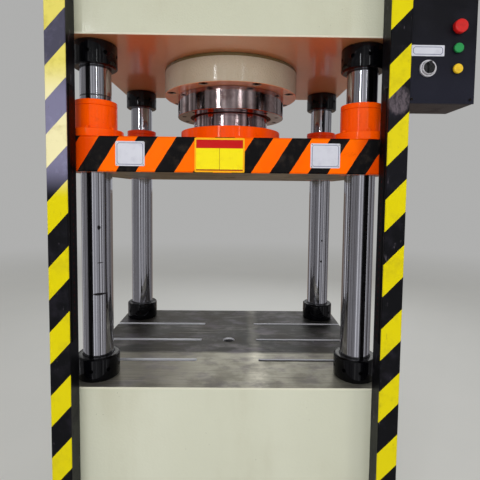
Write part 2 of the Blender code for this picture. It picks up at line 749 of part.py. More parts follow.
def make_slide(paint, bronze):
    """Slide plate with its guide bushes and their capped tops."""
    bm = bmesh.new()
    add_block(
        bm,
        (-BEAM_WIDTH / 2, -SLIDE_DEPTH / 2, SLIDE_FOOT),
        (BEAM_WIDTH / 2, SLIDE_DEPTH / 2, SLIDE_TOP),
    )
    slide = place("slide_beam", bm, paint)
    soften(slide, SLIDE_EDGE)
    bores = column_bores(BUSH_DIAMETER / 2 + SEAT_GAP, SLIDE_FOOT - CUT_OVERRUN, SLIDE_TOP + CUT_OVERRUN)
    add_drum(bores, SHANK_HOLE_DIAMETER / 2, SLIDE_FOOT - CUT_OVERRUN, SLIDE_FOOT + SHANK_HOLE_DEPTH)
    cut(slide, bores, "bores")

    inner = COLUMN_RADIUS + SEAT_GAP
    outer = BUSH_DIAMETER / 2
    collar = BUSH_FLANGE_DIAMETER / 2
    seat = SLIDE_TOP + SEAT_GAP
    top = SLIDE_TOP + BUSH_RISE
    shoulder = top - BUSH_CAP_HEIGHT
    bush = [
        (inner, SLIDE_FOOT),
        (outer, SLIDE_FOOT),
        (outer, seat),
        (collar, seat),
        (collar, seat + BUSH_FLANGE_HEIGHT - BUSH_CHAMFER),
        (collar - BUSH_CHAMFER, seat + BUSH_FLANGE_HEIGHT),
        (outer, seat + BUSH_FLANGE_HEIGHT),
        (outer, shoulder - SEAT_GAP),
        (inner, shoulder - SEAT_GAP),
    ]
    cap = [
        (inner, shoulder),
        (outer, shoulder),
        (outer, top - BUSH_CHAMFER),
        (outer - BUSH_CHAMFER, top),
        (inner, top),
    ]
    for corner, centre in COLUMN_PLACES.items():
        turned(f"guide_bush_{corner}", bush, bronze, centre)
        turned(f"bush_cap_{corner}", cap, bronze, centre)


def make_ejector(paint, steel):
    """Ejector cylinder hung under the worktable beam, its rod rising into the centre hole."""
    seat = TABLE_BEAM_FOOT - SEAT_GAP
    bore = EJECTOR_BORE / 2
    body = EJECTOR_BODY_DIAMETER / 2
    collar = EJECTOR_FLANGE_DIAMETER / 2
    rod = EJECTOR_ROD_DIAMETER / 2
    spigot = EJECTOR_SPIGOT_DIAMETER / 2
    gland_foot = seat - EJECTOR_GLAND_HEIGHT
    piston_top = gland_foot - END_CLEARANCE - EJECTOR_TRAVEL
    piston_foot = piston_top - EJECTOR_PISTON_HEIGHT
    floor = piston_foot - END_CLEARANCE
    profile = [
        (0, floor - EJECTOR_FLOOR),
        (body, floor - EJECTOR_FLOOR),
        (body, seat - EJECTOR_FLANGE_HEIGHT),
        (collar, seat - EJECTOR_FLANGE_HEIGHT),
        (collar, seat),
        (bore, seat),
        (bore, floor),
        (0, floor),
    ]
    turned("ejector_cylinder", profile, paint)
    turned("ejector_gland", ring_section(rod + SEAT_GAP, bore - SEAT_GAP, gland_foot, seat), steel)
    turned("ejector_piston", ring_section(spigot, bore - SEAT_GAP, piston_foot, piston_top), steel)
    rod_top = TABLE_HEIGHT - EJECTOR_SINK
    profile = [
        (0, piston_foot),
        (spigot - SEAT_GAP, piston_foot),
        (spigot - SEAT_GAP, piston_top + SEAT_GAP),
        (rod, piston_top + SEAT_GAP),
        (rod, rod_top - EJECTOR_ROD_CHAMFER),
        (rod - EJECTOR_ROD_CHAMFER, rod_top),
        (0, rod_top),
    ]
    turned("ejector_rod", profile, steel)


def make_guard_posts(black, lens):
    """Square posts in front of the table and crown, each with a light curtain let into its inner face."""
    rear = BODY_FRONT - SEAT_GAP
    front = rear - POST_DEPTH
    low = TABLE_BEAM_FOOT + POST_ABOVE_BEAM_FOOT
    high = CROWN_TOP - POST_BELOW_CROWN_TOP
    middle = (rear + front) / 2
    curtain_low = TABLE_HEIGHT + CURTAIN_ABOVE_TABLE
    curtain_high = CROWN_FOOT - CURTAIN_BELOW_CROWN
    buried = CURTAIN_THICKNESS - CURTAIN_PROUD
    for name, side in (("left", -1), ("right", 1)):
        across = sorted((side * POST_INNER_FACE, side * (POST_INNER_FACE + POST_WIDTH)))
        bm = bmesh.new()
        add_block(bm, (across[0], front, low), (across[1], rear, high))
        post = place(f"guard_post_{name}", bm, black)
        soften(post, POST_EDGE)
        groove = bmesh.new()
        deep = side * (POST_INNER_FACE + buried + SEAT_GAP)
        clear = side * (POST_INNER_FACE - CUT_OVERRUN)
        ends = sorted((deep, clear))
        half = CURTAIN_WIDTH / 2 + SEAT_GAP
        add_block(
            groove,
            (ends[0], middle - half, curtain_low - SEAT_GAP),
            (ends[1], middle + half, curtain_high + SEAT_GAP),
        )
        cut(post, groove, "curtain_groove")
        bar = bmesh.new()
        ends = sorted((side * (POST_INNER_FACE - CURTAIN_PROUD), side * (POST_INNER_FACE + buried)))
        half = CURTAIN_WIDTH / 2
        add_block(bar, (ends[0], middle - half, curtain_low), (ends[1], middle + half, curtain_high))
        curtain = place(f"light_curtain_{name}", bar, lens)
        soften(curtain, CURTAIN_EDGE)


def control_face():
    """Where the control box's cover stands: its left edge, its front plane and the box's floor."""
    left = POST_INNER_FACE + POST_WIDTH + SEAT_GAP
    front = BODY_FRONT - SEAT_GAP - POST_DEPTH + BOX_SET_BACK
    return left, front, CROWN_FOOT - BOX_BELOW_CROWN


def control_places():
    """Centre of each control on the front of the cover."""
    left, front, floor = control_face()
    far = left + BOX_WIDTH - CONTROL_INSET
    knob_height = floor + KNOB_ABOVE_BOX_FLOOR
    return {
        "mode_knob": Vector((left + CONTROL_INSET, front, knob_height)),
        "lower_button": Vector((far, front, knob_height)),
        "raise_button": Vector((far, front, knob_height + BUTTON_ROW_SPACING)),
        "emergency_stop": Vector((far, front, knob_height + BUTTON_ROW_SPACING * 2)),
    }


def front_turned(name, profile, material, origin):
    """A piece turned about an axis that points out of the cover, towards -Y."""
    made = turned(name, profile, material, origin, CONTROL_FACETS)
    made.rotation_euler = (math.tau / 4, 0, 0)
    return made


def make_control_box(paint, black, steel, red, green, yellow):
    """Sheet box, its cover, and the knob, stop and push buttons that go through the cover."""
    left, front, floor = control_face()
    shell_front = front + COVER_THICKNESS + SEAT_GAP
    back = front + BOX_DEPTH
    bm = bmesh.new()
    add_block(bm, (left, shell_front, floor), (left + BOX_WIDTH, back, floor + BOX_HEIGHT))
    shell = place("control_box", bm, paint)
    soften(shell, BOX_EDGE)
    hollow = bmesh.new()
    add_block(
        hollow,
        (left + BOX_WALL, shell_front - CUT_OVERRUN, floor + BOX_WALL),
        (left + BOX_WIDTH - BOX_WALL, back - BOX_WALL, floor + BOX_HEIGHT - BOX_WALL),
    )
    cut(shell, hollow, "hollow")

    bm = bmesh.new()
    add_block(bm, (left, front, floor), (left + BOX_WIDTH, front + COVER_THICKNESS, floor + BOX_HEIGHT))
    cover = place("control_box_cover", bm, paint)
    holes = bmesh.new()
    lying = Matrix.Rotation(math.tau / 4, 4, "X")
    for name, centre in control_places().items():
        radius = STEM_DIAMETER / 2 + (KNOB_CLEARANCE if name == "mode_knob" else SEAT_GAP)
        bmesh.ops.create_cone(
            holes,
            cap_ends=True,
            segments=CONTROL_FACETS,
            radius1=radius,
            radius2=radius,
            depth=COVER_THICKNESS + CUT_OVERRUN * 2,
            matrix=Matrix.Translation(centre) @ lying,
        )
    cut(cover, holes, "holes")

    stem = STEM_DIAMETER / 2
    places = control_places()
    bezel_bore = KNOB_DIAMETER / 2 + KNOB_CLEARANCE
    bezel = [
        (bezel_bore, SEAT_GAP),
        (BEZEL_DIAMETER / 2, SEAT_GAP),
        (BEZEL_DIAMETER / 2, BEZEL_HEIGHT - BEZEL_CHAMFER),
        (BEZEL_DIAMETER / 2 - BEZEL_CHAMFER, BEZEL_HEIGHT),
        (bezel_bore, BEZEL_HEIGHT),
    ]
    front_turned("knob_bezel", bezel, steel, places["mode_knob"])

    knob = headed_pin(stem, KNOB_DIAMETER / 2, SEAT_GAP, KNOB_HEIGHT, BEZEL_CHAMFER)
    body = front_turned("mode_knob", knob, black, places["mode_knob"])
    grip = bmesh.new()
    half = KNOB_GRIP_WIDTH / 2
    reach = KNOB_DIAMETER / 2 - KNOB_GRIP_SINK
    add_block(
        grip,
        (-half, -reach, KNOB_HEIGHT - KNOB_GRIP_SINK),
        (half, reach, KNOB_HEIGHT + KNOB_GRIP_HEIGHT),
    )
    bar = place("mode_knob_grip", grip, black, places["mode_knob"])
    bar.rotation_euler = body.rotation_euler
    bar.hide_render = True
    bar.display_type = "WIRE"
    join = body.modifiers.new("grip", "BOOLEAN")
    join.operation = "UNION"
    join.solver = "EXACT"
    join.object = bar

    stop = headed_pin(
        stem,
        STOP_HEAD_DIAMETER / 2,
        STOP_TRAVEL + SEAT_GAP,
        STOP_HEAD_HEIGHT,
        STOP_HEAD_CHAMFER,
    )
    front_turned("emergency_stop", stop, red, places["emergency_stop"])
    push = headed_pin(
        stem,
        BUTTON_HEAD_DIAMETER / 2,
        BUTTON_TRAVEL + SEAT_GAP,
        BUTTON_HEAD_HEIGHT,
        BUTTON_HEAD_CHAMFER,
    )
    front_turned("raise_button", push, green, places["raise_button"])
    front_turned("lower_button", push, yellow, places["lower_button"])


def headed_pin(stem, head, lift, height, chamfer):
    """Section of a stem through the cover with a wider head, which stands lift off the cover."""
    return [
        (0, -STEM_LENGTH),
        (stem, -STEM_LENGTH),
        (stem, lift),
        (head, lift),
        (head, lift + height - chamfer),
        (head - chamfer, lift + height),
        (0, lift + height),
    ]


def main():
    for old in list(bpy.data.objects):
        bpy.data.objects.remove(old)
    cream = finish("cream_paint", (0.58, 0.56, 0.42), 0.45, 0.0)
    orange = finish("orange_paint", (0.84, 0.10, 0.002), 0.40, 0.0)
    table_steel = finish("machined_steel", (0.30, 0.28, 0.26), 0.38, 1.0)
    bright_steel = finish("bright_steel", (0.62, 0.60, 0.57), 0.22, 1.0)
    chrome = finish("hard_chrome", (0.75, 0.75, 0.75), 0.08, 1.0)
    black_gloss = finish("black_gloss", (0.004, 0.004, 0.005), 0.15, 0.0)
    black_powder = finish("black_powder_coat", (0.012, 0.012, 0.014), 0.45, 0.0)
    lens = finish("curtain_lens", (0.02, 0.02, 0.025), 0.12, 0.0)
    rubber = finish("seal_rubber", (0.01, 0.01, 0.01), 0.6, 0.0)
    red = finish("stop_red", (0.6, 0.01, 0.01), 0.35, 0.0)
    green = finish("button_green", (0.02, 0.25, 0.05), 0.35, 0.0)
    yellow = finish("button_yellow", (0.75, 0.5, 0.02), 0.35, 0.0)

    make_base_frame(cream)
    make_worktable_beam(cream)
    make_crown_beam(cream)
    make_columns(chrome)
    make_lock_rings(black_gloss)
    make_column_nuts(black_gloss)
    make_cylinder(cream, bright_steel)
    make_rod_seals(rubber)
    make_ram(chrome, table_steel, rubber, orange)
    make_slide(orange, orange)
    make_ejector(cream, table_steel)
    make_guard_posts(black_powder, lens)
    make_control_box(black_powder, black_gloss, chrome, red, green, yellow)


main()
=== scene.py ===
# %% [markdown]
# A four-column hydraulic press, dressed for a close look. The solids already
# stand in the file that is loaded here. This lesson gives them round, eased
# pieces where they are faceted, and a finish for every surface.

# %% The frame and its box
import math

import bmesh
import bpy
from mathutils import Matrix, Vector


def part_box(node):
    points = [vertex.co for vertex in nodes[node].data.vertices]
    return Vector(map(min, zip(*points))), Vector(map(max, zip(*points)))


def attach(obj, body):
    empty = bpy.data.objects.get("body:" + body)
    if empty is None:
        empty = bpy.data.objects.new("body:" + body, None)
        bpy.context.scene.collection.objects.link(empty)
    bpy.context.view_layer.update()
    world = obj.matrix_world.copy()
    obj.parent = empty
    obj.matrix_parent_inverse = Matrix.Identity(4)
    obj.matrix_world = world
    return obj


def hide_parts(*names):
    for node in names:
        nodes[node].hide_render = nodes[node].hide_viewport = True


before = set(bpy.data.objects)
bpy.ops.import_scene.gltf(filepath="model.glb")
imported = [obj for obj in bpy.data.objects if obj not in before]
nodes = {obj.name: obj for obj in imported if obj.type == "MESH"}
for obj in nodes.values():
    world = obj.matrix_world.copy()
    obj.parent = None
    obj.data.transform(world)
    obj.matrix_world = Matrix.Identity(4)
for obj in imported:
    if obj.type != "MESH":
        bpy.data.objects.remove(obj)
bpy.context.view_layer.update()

# %% [markdown]
# The camera. It stands in front of the press at chest height and looks a
# little down, as the photograph does. A lens shift keeps the uprights nearly
# parallel, which a steeper tilt wouldn't.

# %% The camera
PICTURE_WIDTH = 480
FOCAL_PIXELS = 378.9
CENTRE_ROW_OFFSET = -26
EYE = Vector((0.0267, -1.5929, 1.4161))
YAW = 0.0102
PITCH = -0.0593
ROLL = 0.0109
UP = Vector((0, 0, 1))


def new_object(name, data):
    """An object that stands in the scene."""
    made = bpy.data.objects.new(name, data)
    bpy.context.scene.collection.objects.link(made)
    return made


lens = bpy.data.cameras.new("front_camera")
lens.sensor_width = 36
lens.lens = FOCAL_PIXELS / PICTURE_WIDTH * lens.sensor_width
lens.shift_y = CENTRE_ROW_OFFSET / PICTURE_WIDTH
camera = new_object("front_camera", lens)
level = math.cos(PITCH)
ahead = Vector((math.sin(YAW) * level, math.cos(YAW) * level, math.sin(PITCH)))
across = ahead.cross(UP).normalized()
upward = across.cross(ahead)
tilted_across = across * math.cos(ROLL) + upward * math.sin(ROLL)
tilted_upward = upward * math.cos(ROLL) - across * math.sin(ROLL)
turn = Matrix((tilted_across, tilted_upward, -ahead)).transposed().to_4x4()
camera.matrix_world = Matrix.Translation(EYE) @ turn
bpy.context.scene.camera = camera
bpy.context.scene.view_settings.view_transform = "Standard"
print("lens", round(lens.lens, 2), "mm, shift", round(lens.shift_y, 4))

# %% [markdown]
# Shader sums. A mask is easier to read as an expression than as a list of
# nodes, so a small class wraps a socket and its operators add Math nodes.
# Every other node comes from one method of the sheet that holds the nodes.


# %% A number on a socket, and a sheet of nodes
class Number:
    """A socket that carries a number, for masks written as sums and products."""

    def __init__(self, sheet, socket):
        self.sheet = sheet
        self.socket = socket

    def math(self, operation, other=0.0, swapped=False):
        first, second = (other, self) if swapped else (self, other)
        made = self.sheet.node("ShaderNodeMath", {"operation": operation}, {0: first, 1: second})
        return Number(self.sheet, made.outputs[0])

    __add__ = __radd__ = lambda self, other: self.math("ADD", other)
    __mul__ = __rmul__ = lambda self, other: self.math("MULTIPLY", other)
    __sub__ = lambda self, other: self.math("SUBTRACT", other)
    __rsub__ = lambda self, other: self.math("SUBTRACT", other, swapped=True)
    __truediv__ = lambda self, other: self.math("DIVIDE", other)
    __gt__ = lambda self, other: self.math("GREATER_THAN", other)
    __lt__ = lambda self, other: self.math("LESS_THAN", other)
    __abs__ = lambda self: self.math("ABSOLUTE")
    larger = lambda self, other: self.math("MAXIMUM", other)
    smaller = lambda self, other: self.math("MINIMUM", other)


class Sheet:
    """A node tree, with one method that adds any node and a few names for common ones."""

    def __init__(self, tree):
        self.tree = tree

    def node(self, kind, settings=None, values=None):
        made = self.tree.nodes.new(kind)
        for name, value in (settings or {}).items():
            if name == "stops":
                ramp = made.color_ramp.elements
                while len(ramp) < len(value):
                    ramp.new(1.0)
                for stop, (position, colour) in zip(ramp, value):
                    stop.position = position
                    stop.color = colour
            else:
                setattr(made, name, value)
        for name, value in (values or {}).items():
            self.feed(made.inputs[name], value)
        return made

    def feed(self, socket, value):
        if isinstance(value, Number):
            value = value.socket
        if isinstance(value, bpy.types.NodeSocket):
            self.tree.links.new(value, socket)
        else:
            socket.default_value = value

    def smooth_step(self, value, low, high):
        """0 below low, 1 above high, and a soft ramp between them."""
        settings = {"interpolation_type": "SMOOTHSTEP"}
        values = {"Value": value, "From Min": low, "From Max": high}
        made = self.node("ShaderNodeMapRange", settings, values)
        return Number(self, made.outputs["Result"])

    def blend(self, share, first, second):
        """Colour first where share is 0 and second where it is 1."""
        values = {0: share, 6: first, 7: second}
        return self.node("ShaderNodeMix", {"data_type": "RGBA"}, values).outputs[2]

    def layered(self, colour, *layers):
        """A colour under more colours, each laid over the last by its own share."""
        for share, coat in layers:
            colour = self.blend(share, colour, coat)
        return colour

    def axes(self, vector):
        """The three numbers of a vector."""
        made = self.node("ShaderNodeSeparateXYZ", values={0: vector})
        return [Number(self, socket) for socket in made.outputs]


print("sheet of nodes ready")

# %% [markdown]
# A finish is a material with its shader. Patterns read Object coordinates,
# which are the real sizes in metres here, so a noise scale of 100 gives
# patches of about a centimetre. Facing directions come from the surface's
# normal, which tells the machined top of a casting from its painted sides.
# The numbers in a finish are scales, limits and shares, tried one by one.

# %% A finish
EVEN = (1, 1, 1)


def tone(red, green, blue):
    """A colour as the eye sees it, 0 to 255, made linear."""
    values = [v / 255 for v in (red, green, blue)]
    linear = [v / 12.92 if v <= 0.04045 else ((v + 0.055) / 1.055) ** 2.4 for v in values]
    return (*linear, 1.0)


class Finish(Sheet):
    """A material: its shader, its place in metres and its facing direction."""

    def __init__(self, name, **settings):
        self.material = bpy.data.materials.new(name)
        self.material.use_nodes = True
        super().__init__(self.material.node_tree)
        self.shader = self.tree.nodes["Principled BSDF"]
        self.place = self.node("ShaderNodeTexCoord").outputs["Object"]
        self.x, self.y, self.z = self.axes(self.place)
        facing = self.node("ShaderNodeNewGeometry").outputs["Normal"]
        _, self.facing_y, self.facing_z = self.axes(facing)
        for label, value in settings.items():
            self.set(label.replace("_", " "), value)

    def set(self, label, value):
        self.feed(self.shader.inputs[label], value)

    def paint(self, colour, roughness):
        self.set("Base Color", colour)
        self.set("Roughness", roughness)

    def colour_so_far(self):
        return self.shader.inputs["Base Color"].links[0].from_socket

    def stretched(self, stretch):
        """The place, with patterns shorter along an axis that has a larger stretch."""
        values = {"Vector": self.place, "Scale": stretch}
        return self.node("ShaderNodeMapping", values=values).outputs[0]

    def noise(self, scale, detail=4.0, rough=0.55, stretch=EVEN):
        """Clouds about 1/scale metres across."""
        vector = self.stretched(stretch)
        values = {"Vector": vector, "Scale": scale, "Detail": detail, "Roughness": rough}
        return Number(self, self.node("ShaderNodeTexNoise", values=values).outputs[0])

    def patches(self, low, high, scale, detail=4.0, rough=0.55, stretch=EVEN):
        """Noise as patches: 0 where it is below low and 1 where it is above high."""
        return self.smooth_step(self.noise(scale, detail, rough, stretch), low, high)

    def specks(self, low, high, scale, stretch=EVEN):
        """1 at scattered points, fading out from low to high, in parts of 1/scale."""
        values = {"Vector": self.stretched(stretch), "Scale": scale}
        away = self.node("ShaderNodeTexVoronoi", values=values).outputs["Distance"]
        return 1 - self.smooth_step(away, low, high)

    def spot(self, x, z, width, height):
        """1 inside an upright oval at x and z, fading to 0 over a ragged edge."""
        across = (self.x - x) / width
        along = (self.z - z) / height
        far = across * across + along * along
        return 1 - self.smooth_step(far + self.noise(90, 3) * 0.8 - 0.4, 0.5, 1.1)

    def band(self, value, low, high):
        """1 where value lies between low and high."""
        return (value > low) * (value < high)

    def bump(self, height, distance):
        values = {"Height": height, "Distance": distance, "Strength": 1.0}
        self.set("Normal", self.node("ShaderNodeBump", values=values).outputs[0])


def dress(names, finish):
    """Gives CAD nodes, which keep their mesh, a finish."""
    for name in names:
        mesh = nodes[name].data
        mesh.materials.clear()
        mesh.materials.append(finish.material)
    print(finish.material.name, "on", ", ".join(names))


# %% [markdown]
# Cream machine enamel, on the beams and the cylinder. It is sprayed thick over cast and welded
# steel, so it has an orange-peel skin, faint runs and patches of grime. Its chamfers are painted
# lighter, as a painted highlight. The gloss matters most under the crown, where it mirrors the
# orange slide below. The underside is also tinted orange-brown, a painted bounce and reflection
# of the slide. The flange's enamel is a darker, greyer copy of the cream, painted shade under the
# crown. Above the crown's middle every cream goes back to the plain colour. A dark olive band is
# painted round the top of the flange, just under the crown.

# %% Cream enamel
CROWN_MIDDLE = 2.10
DARK_BAND_HEIGHT = 0.0118
NOWHERE = 9.0
CHAMFER_FACING = (0.5, 0.9)
ORANGE_BOUNCE_TINT = tone(198, 112, 34)
UPPER_CREAM = tone(196, 197, 176)
CHAMFER_HIGHLIGHT = tone(240, 237, 216)
crown_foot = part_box("crown_beam")[0].z


def cream_enamel(name, colour, grime, roughness, skin=1.0, tint=ORANGE_BOUNCE_TINT, dark_band_foot=NOWHERE):
    finish = Finish(name, Coat_Roughness=0.13, Coat_IOR=2.0)
    streak = finish.noise(9, 4, stretch=(1, 1, 0.15))
    worn = finish.smooth_step(finish.noise(2.2, 5) * 0.6 + streak * 0.4, 0.46, 0.72)
    chipped = finish.specks(0.03, 0.08, 55) * (finish.noise(7) > 0.60)
    edge = finish.band(abs(finish.facing_z), *CHAMFER_FACING)
    under = finish.facing_z < -0.9
    base = finish.layered(
        colour,
        (worn * 0.55, grime),
        # Above the crown's middle the colour goes back to plain cream, so that the flange's
        # painted shade stops under the crown.
        (finish.z > CROWN_MIDDLE, UPPER_CREAM),
        # A dark olive band is painted round the flange's top, just under the crown.
        (finish.band(finish.z, dark_band_foot, dark_band_foot + DARK_BAND_HEIGHT), tone(94, 80, 46)),
        # Chamfers are painted lighter: a painted highlight.
        (edge * 0.7, CHAMFER_HIGHLIGHT),
        # The underside is tinted orange-brown: a painted bounce and reflection of the orange
        # slide below.
        (under * 0.8, tint),
        (chipped * 0.8, tone(70, 60, 48)),
    )
    finish.paint(base, roughness + finish.noise(14) * 0.16 + chipped * 0.3)
    finish.set("Coat Weight", 0.30 + under * 0.70)
    finish.bump(finish.noise(210, 2) * skin + finish.noise(18, 3), 0.0009)
    return finish


beam_cream = cream_enamel("cream_enamel", tone(193, 194, 173), tone(172, 167, 141), 0.26)
# The flange's enamel is a darker, greyer copy of the cream, painted shade under the crown. Its
# underside tint is a paler orange, painted bounce from the slide.
shaded_flange_cream = cream_enamel(
    "shaded_flange_enamel",
    tone(170, 159, 138),
    tone(142, 129, 106),
    0.16,
    skin=3.4,
    tint=tone(255, 196, 136),
    dark_band_foot=crown_foot - DARK_BAND_HEIGHT,
)
dress(["crown_beam", "base_frame"], beam_cream)

# %% [markdown]
# The worktable is the same casting, painted round its sides, with its top planed flat and its
# slots milled. One mesh carries both finishes, so a mask picks the top plane and the slot walls:
# close to the top, and inside the outer faces. The steel's rear is painted dark, darker still to
# the right, as a painted reflection of the slide's dark underside. The front is light, with its
# left end a little darker as painted shade. It has brown oil patches, milling lines across the
# bed, scratches from dies that were pushed over it, and a light track from front to back that is
# partly rubbed and partly painted sheen. The slot walls are painted light near the top, a painted
# highlight, and dark below it, painted shade.

# %% Planed worktable
SLOT_DEPTH = 0.0405
OUTER_SKIN = 0.0015
LIP_HEIGHT = 0.009
LIP_SHORTER = 0.005
LIGHT_FRONT_END = -0.120
TRACK_MIDDLE = 0.108
TRACK_HALF_WIDTH = 0.036
TRACK_WIDER_IN_FRONT = 0.014
table_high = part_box("worktable_beam")[1]


def worktable_finish():
    finish = cream_enamel("worktable_casting", tone(201, 202, 182), tone(176, 172, 146), 0.26)
    near_top = finish.z > table_high.z - SLOT_DEPTH
    inside_x = abs(finish.x) < table_high.x - OUTER_SKIN
    inside = inside_x * (abs(finish.y) < table_high.y - OUTER_SKIN)
    # The chamfer round the top stays painted, and takes the cream's painted highlight.
    edge = finish.band(finish.facing_z, *CHAMFER_FACING)
    bare = (near_top * inside).larger((finish.facing_z > 0.6) * near_top) * (1 - edge)

    # The rear of the steel is painted dark, a painted reflection of the slide's dark underside,
    # and it is darker still to the right.
    wavy_y = finish.y + finish.noise(4) * 0.03
    rear_reflection = finish.smooth_step(wavy_y, LIGHT_FRONT_END - 0.01, LIGHT_FRONT_END + 0.02)
    rightward = finish.smooth_step(finish.x + finish.noise(5) * 0.1, -0.04, 0.16) * rear_reflection
    # The front's left end is painted a little darker: painted shade.
    leftward = 1 - finish.smooth_step(finish.x + finish.noise(5) * 0.2, -0.16, 0.10)
    haze = finish.patches(0.50, 0.68, 6.5, 6, 0.7, (0.8, 1.5, 1))
    # A light track is painted from front to back. It is partly a rubbed track and partly a
    # painted sheen, and brighter in front.
    off_track = abs(finish.x - TRACK_MIDDLE + finish.noise(16) * 0.03 - 0.015)
    track_edge = TRACK_HALF_WIDTH + (1 - rear_reflection) * TRACK_WIDER_IN_FRONT
    track_and_sheen = (1 - finish.smooth_step(off_track, 0.0, track_edge)) * (0.55 + haze * 0.45)
    patch = finish.patches(0.42, 0.66, 5.5, 6, 0.62)
    violet = finish.patches(0.48, 0.66, 9, 5, 0.6, (1, 1.6, 1))
    scratch = finish.patches(0.63, 0.70, 60, 3, 0.6, (0.05, 3.2, 1))
    grain = finish.patches(0.45, 0.75, 260, 2, 0.5, (0.03, 1, 1))
    # The upper part of each slot wall is painted light and less metallic: a painted highlight.
    lit_slot_wall = inside * (finish.facing_z < 0.5) * near_top
    lip_height = LIP_HEIGHT - finish.smooth_step(finish.x, -0.1, 0.1) * LIP_SHORTER
    # Below that the slot walls are painted dark: painted shade in the slots.
    deep = finish.smooth_step(table_high.z - finish.z - lip_height, 0, 0.002) * inside
    steel = finish.layered(
        tone(186, 183, 168),
        (rear_reflection, tone(53, 51, 48)),
        (rightward * 0.9, tone(27, 27, 25)),
        (leftward * (1 - rear_reflection) * 0.65, tone(118, 112, 102)),
        (haze * 0.26, tone(176, 170, 170)),
        (track_and_sheen * (1.1 - rear_reflection * 0.88), tone(250, 246, 230)),
        (patch * 0.42, tone(92, 86, 78)),
        (violet * 0.45, tone(112, 105, 116)),
        (scratch * 0.4, tone(206, 202, 192)),
        (grain * 0.30, tone(60, 57, 54)),
        (lit_slot_wall, tone(236, 236, 242)),
        (deep * 0.9, tone(40, 37, 34)),
    )
    finish.set("Base Color", finish.blend(bare, finish.colour_so_far(), steel))
    finish.set("Metallic", bare * 0.60 - lit_slot_wall * 0.20)
    drag = finish.noise(26, 5, 0.7, (0.12, 2.4, 1))
    gloss = 0.40 + patch * 0.12 + drag * 0.12
    finish.set("Roughness", gloss * bare + (1 - bare) * (0.28 + finish.noise(14) * 0.16))
    finish.set("Coat Weight", (1 - bare) * 0.6)
    milling = finish.noise(900, 1, 0.5, (0.02, 1, 1))
    worked = (milling * 0.25 + drag * 0.35 - scratch * 0.4) * bare
    finish.bump(worked + finish.noise(120, 2) * (1 - bare), 0.0005)
    return finish


dress(["worktable_beam"], worktable_finish())

# %% [markdown]
# Turned pieces. Columns, rings, bushes and the cylinder are all turned on a
# lathe, so each is a section spun round an axis. Seventy-two steps look round
# from close by, and the big ones get more. The corners are then eased with a
# bevel, because a real chamfer is what catches the light.

# %% Lathe work
ROUND_STEPS = 72
LARGE_STEPS = 120
LARGE_RADIUS = 0.12
SHARP = math.radians(22)
CENTRE = Vector((0, 0, 0))


def spun(section, steps=None):
    """Spins (radius, height) points a full turn round the upright axis."""
    large = max(section)[0] > LARGE_RADIUS
    steps = steps or (LARGE_STEPS if large else ROUND_STEPS)
    bm = bmesh.new()
    corners = [bm.verts.new((radius, 0, height)) for radius, height in section]
    pairs = list(zip(corners, corners[1:]))
    if section[0][0] > 0:
        pairs.append((corners[-1], corners[0]))
    geometry = corners + [bm.edges.new(pair) for pair in pairs]
    full = {"angle": math.tau, "steps": steps, "use_merge": True}
    bmesh.ops.spin(bm, geom=geometry, cent=CENTRE, axis=UP, **full)
    bmesh.ops.remove_doubles(bm, verts=bm.verts, dist=1e-6)
    bmesh.ops.recalc_face_normals(bm, faces=bm.faces)
    return bm


def bevelled(bm, edges, width, segments, clamp_overlap=False):
    """Rounds edges off. The operator's defaults differ from the editor's, so all are given."""
    even = {"profile": 0.5, "affect": "EDGES", "material": -1, "clamp_overlap": clamp_overlap}
    bmesh.ops.bevel(bm, geom=edges, offset=width, segments=segments, **even)
    return bm


def eased(bm, width, segments=2):
    """Bevels every corner that is sharper than a few degrees."""
    sharp = [e for e in bm.edges if len(e.link_faces) == 2 and e.calc_face_angle() > SHARP]
    return bevelled(bm, sharp, width, segments, clamp_overlap=True)


def stepped(bore, foot, *steps):
    """A section round a bore. Each step is an outer radius and the height that it ends at."""
    section = [(bore, foot)]
    for radius, top in steps:
        section += [(radius, foot), (radius, top)]
        foot = top
    return section + [(bore, foot)]


def ring_section(inner, outer, low, high):
    return stepped(inner, low, (outer, high))


def heights(node):
    """A node's lowest and highest place."""
    low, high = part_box(node)
    return low.z, high.z


def axis_of(node):
    """Where a turned node's upright axis stands."""
    low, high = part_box(node)
    return Vector(((low.x + high.x) / 2, (low.y + high.y) / 2, 0))


print("lathe ready,", ROUND_STEPS, "steps")

# %% [markdown]
# From mesh to piece. A piece stands at the origin with its place in its mesh,
# rides on a body of the press, and hides the faceted solid that it stands
# for. Holes are cut with a Boolean that is applied at once, so that the piece
# keeps a plain mesh.


# %% Placing and cutting
def mark_corners(bm):
    """Keeps corners crisp where faces are shaded smooth."""
    for edge in bm.edges:
        edge.smooth = len(edge.link_faces) == 2 and edge.calc_face_angle() < SHARP


def placed(name, bm, finish, body, slot, node=None, centre=CENTRE):
    """Turns a bmesh into a piece that rides on a body and may stand for a CAD node."""
    bmesh.ops.translate(bm, verts=bm.verts, vec=centre)
    for face in bm.faces:
        face.smooth = True
    mark_corners(bm)
    mesh = bpy.data.meshes.new(name)
    bm.to_mesh(mesh)
    bm.free()
    mesh.materials.append(finish.material)
    piece = new_object(name, mesh)
    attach(piece, body)
    if node:
        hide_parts(node)
    print(name, len(mesh.polygons), "faces")
    return piece


def turned(name, node, section, ease, finish, body, slot, centre=CENTRE):
    """A turned and eased piece that stands for a CAD node."""
    return placed(name, eased(spun(section), ease), finish, body, slot, node, centre)


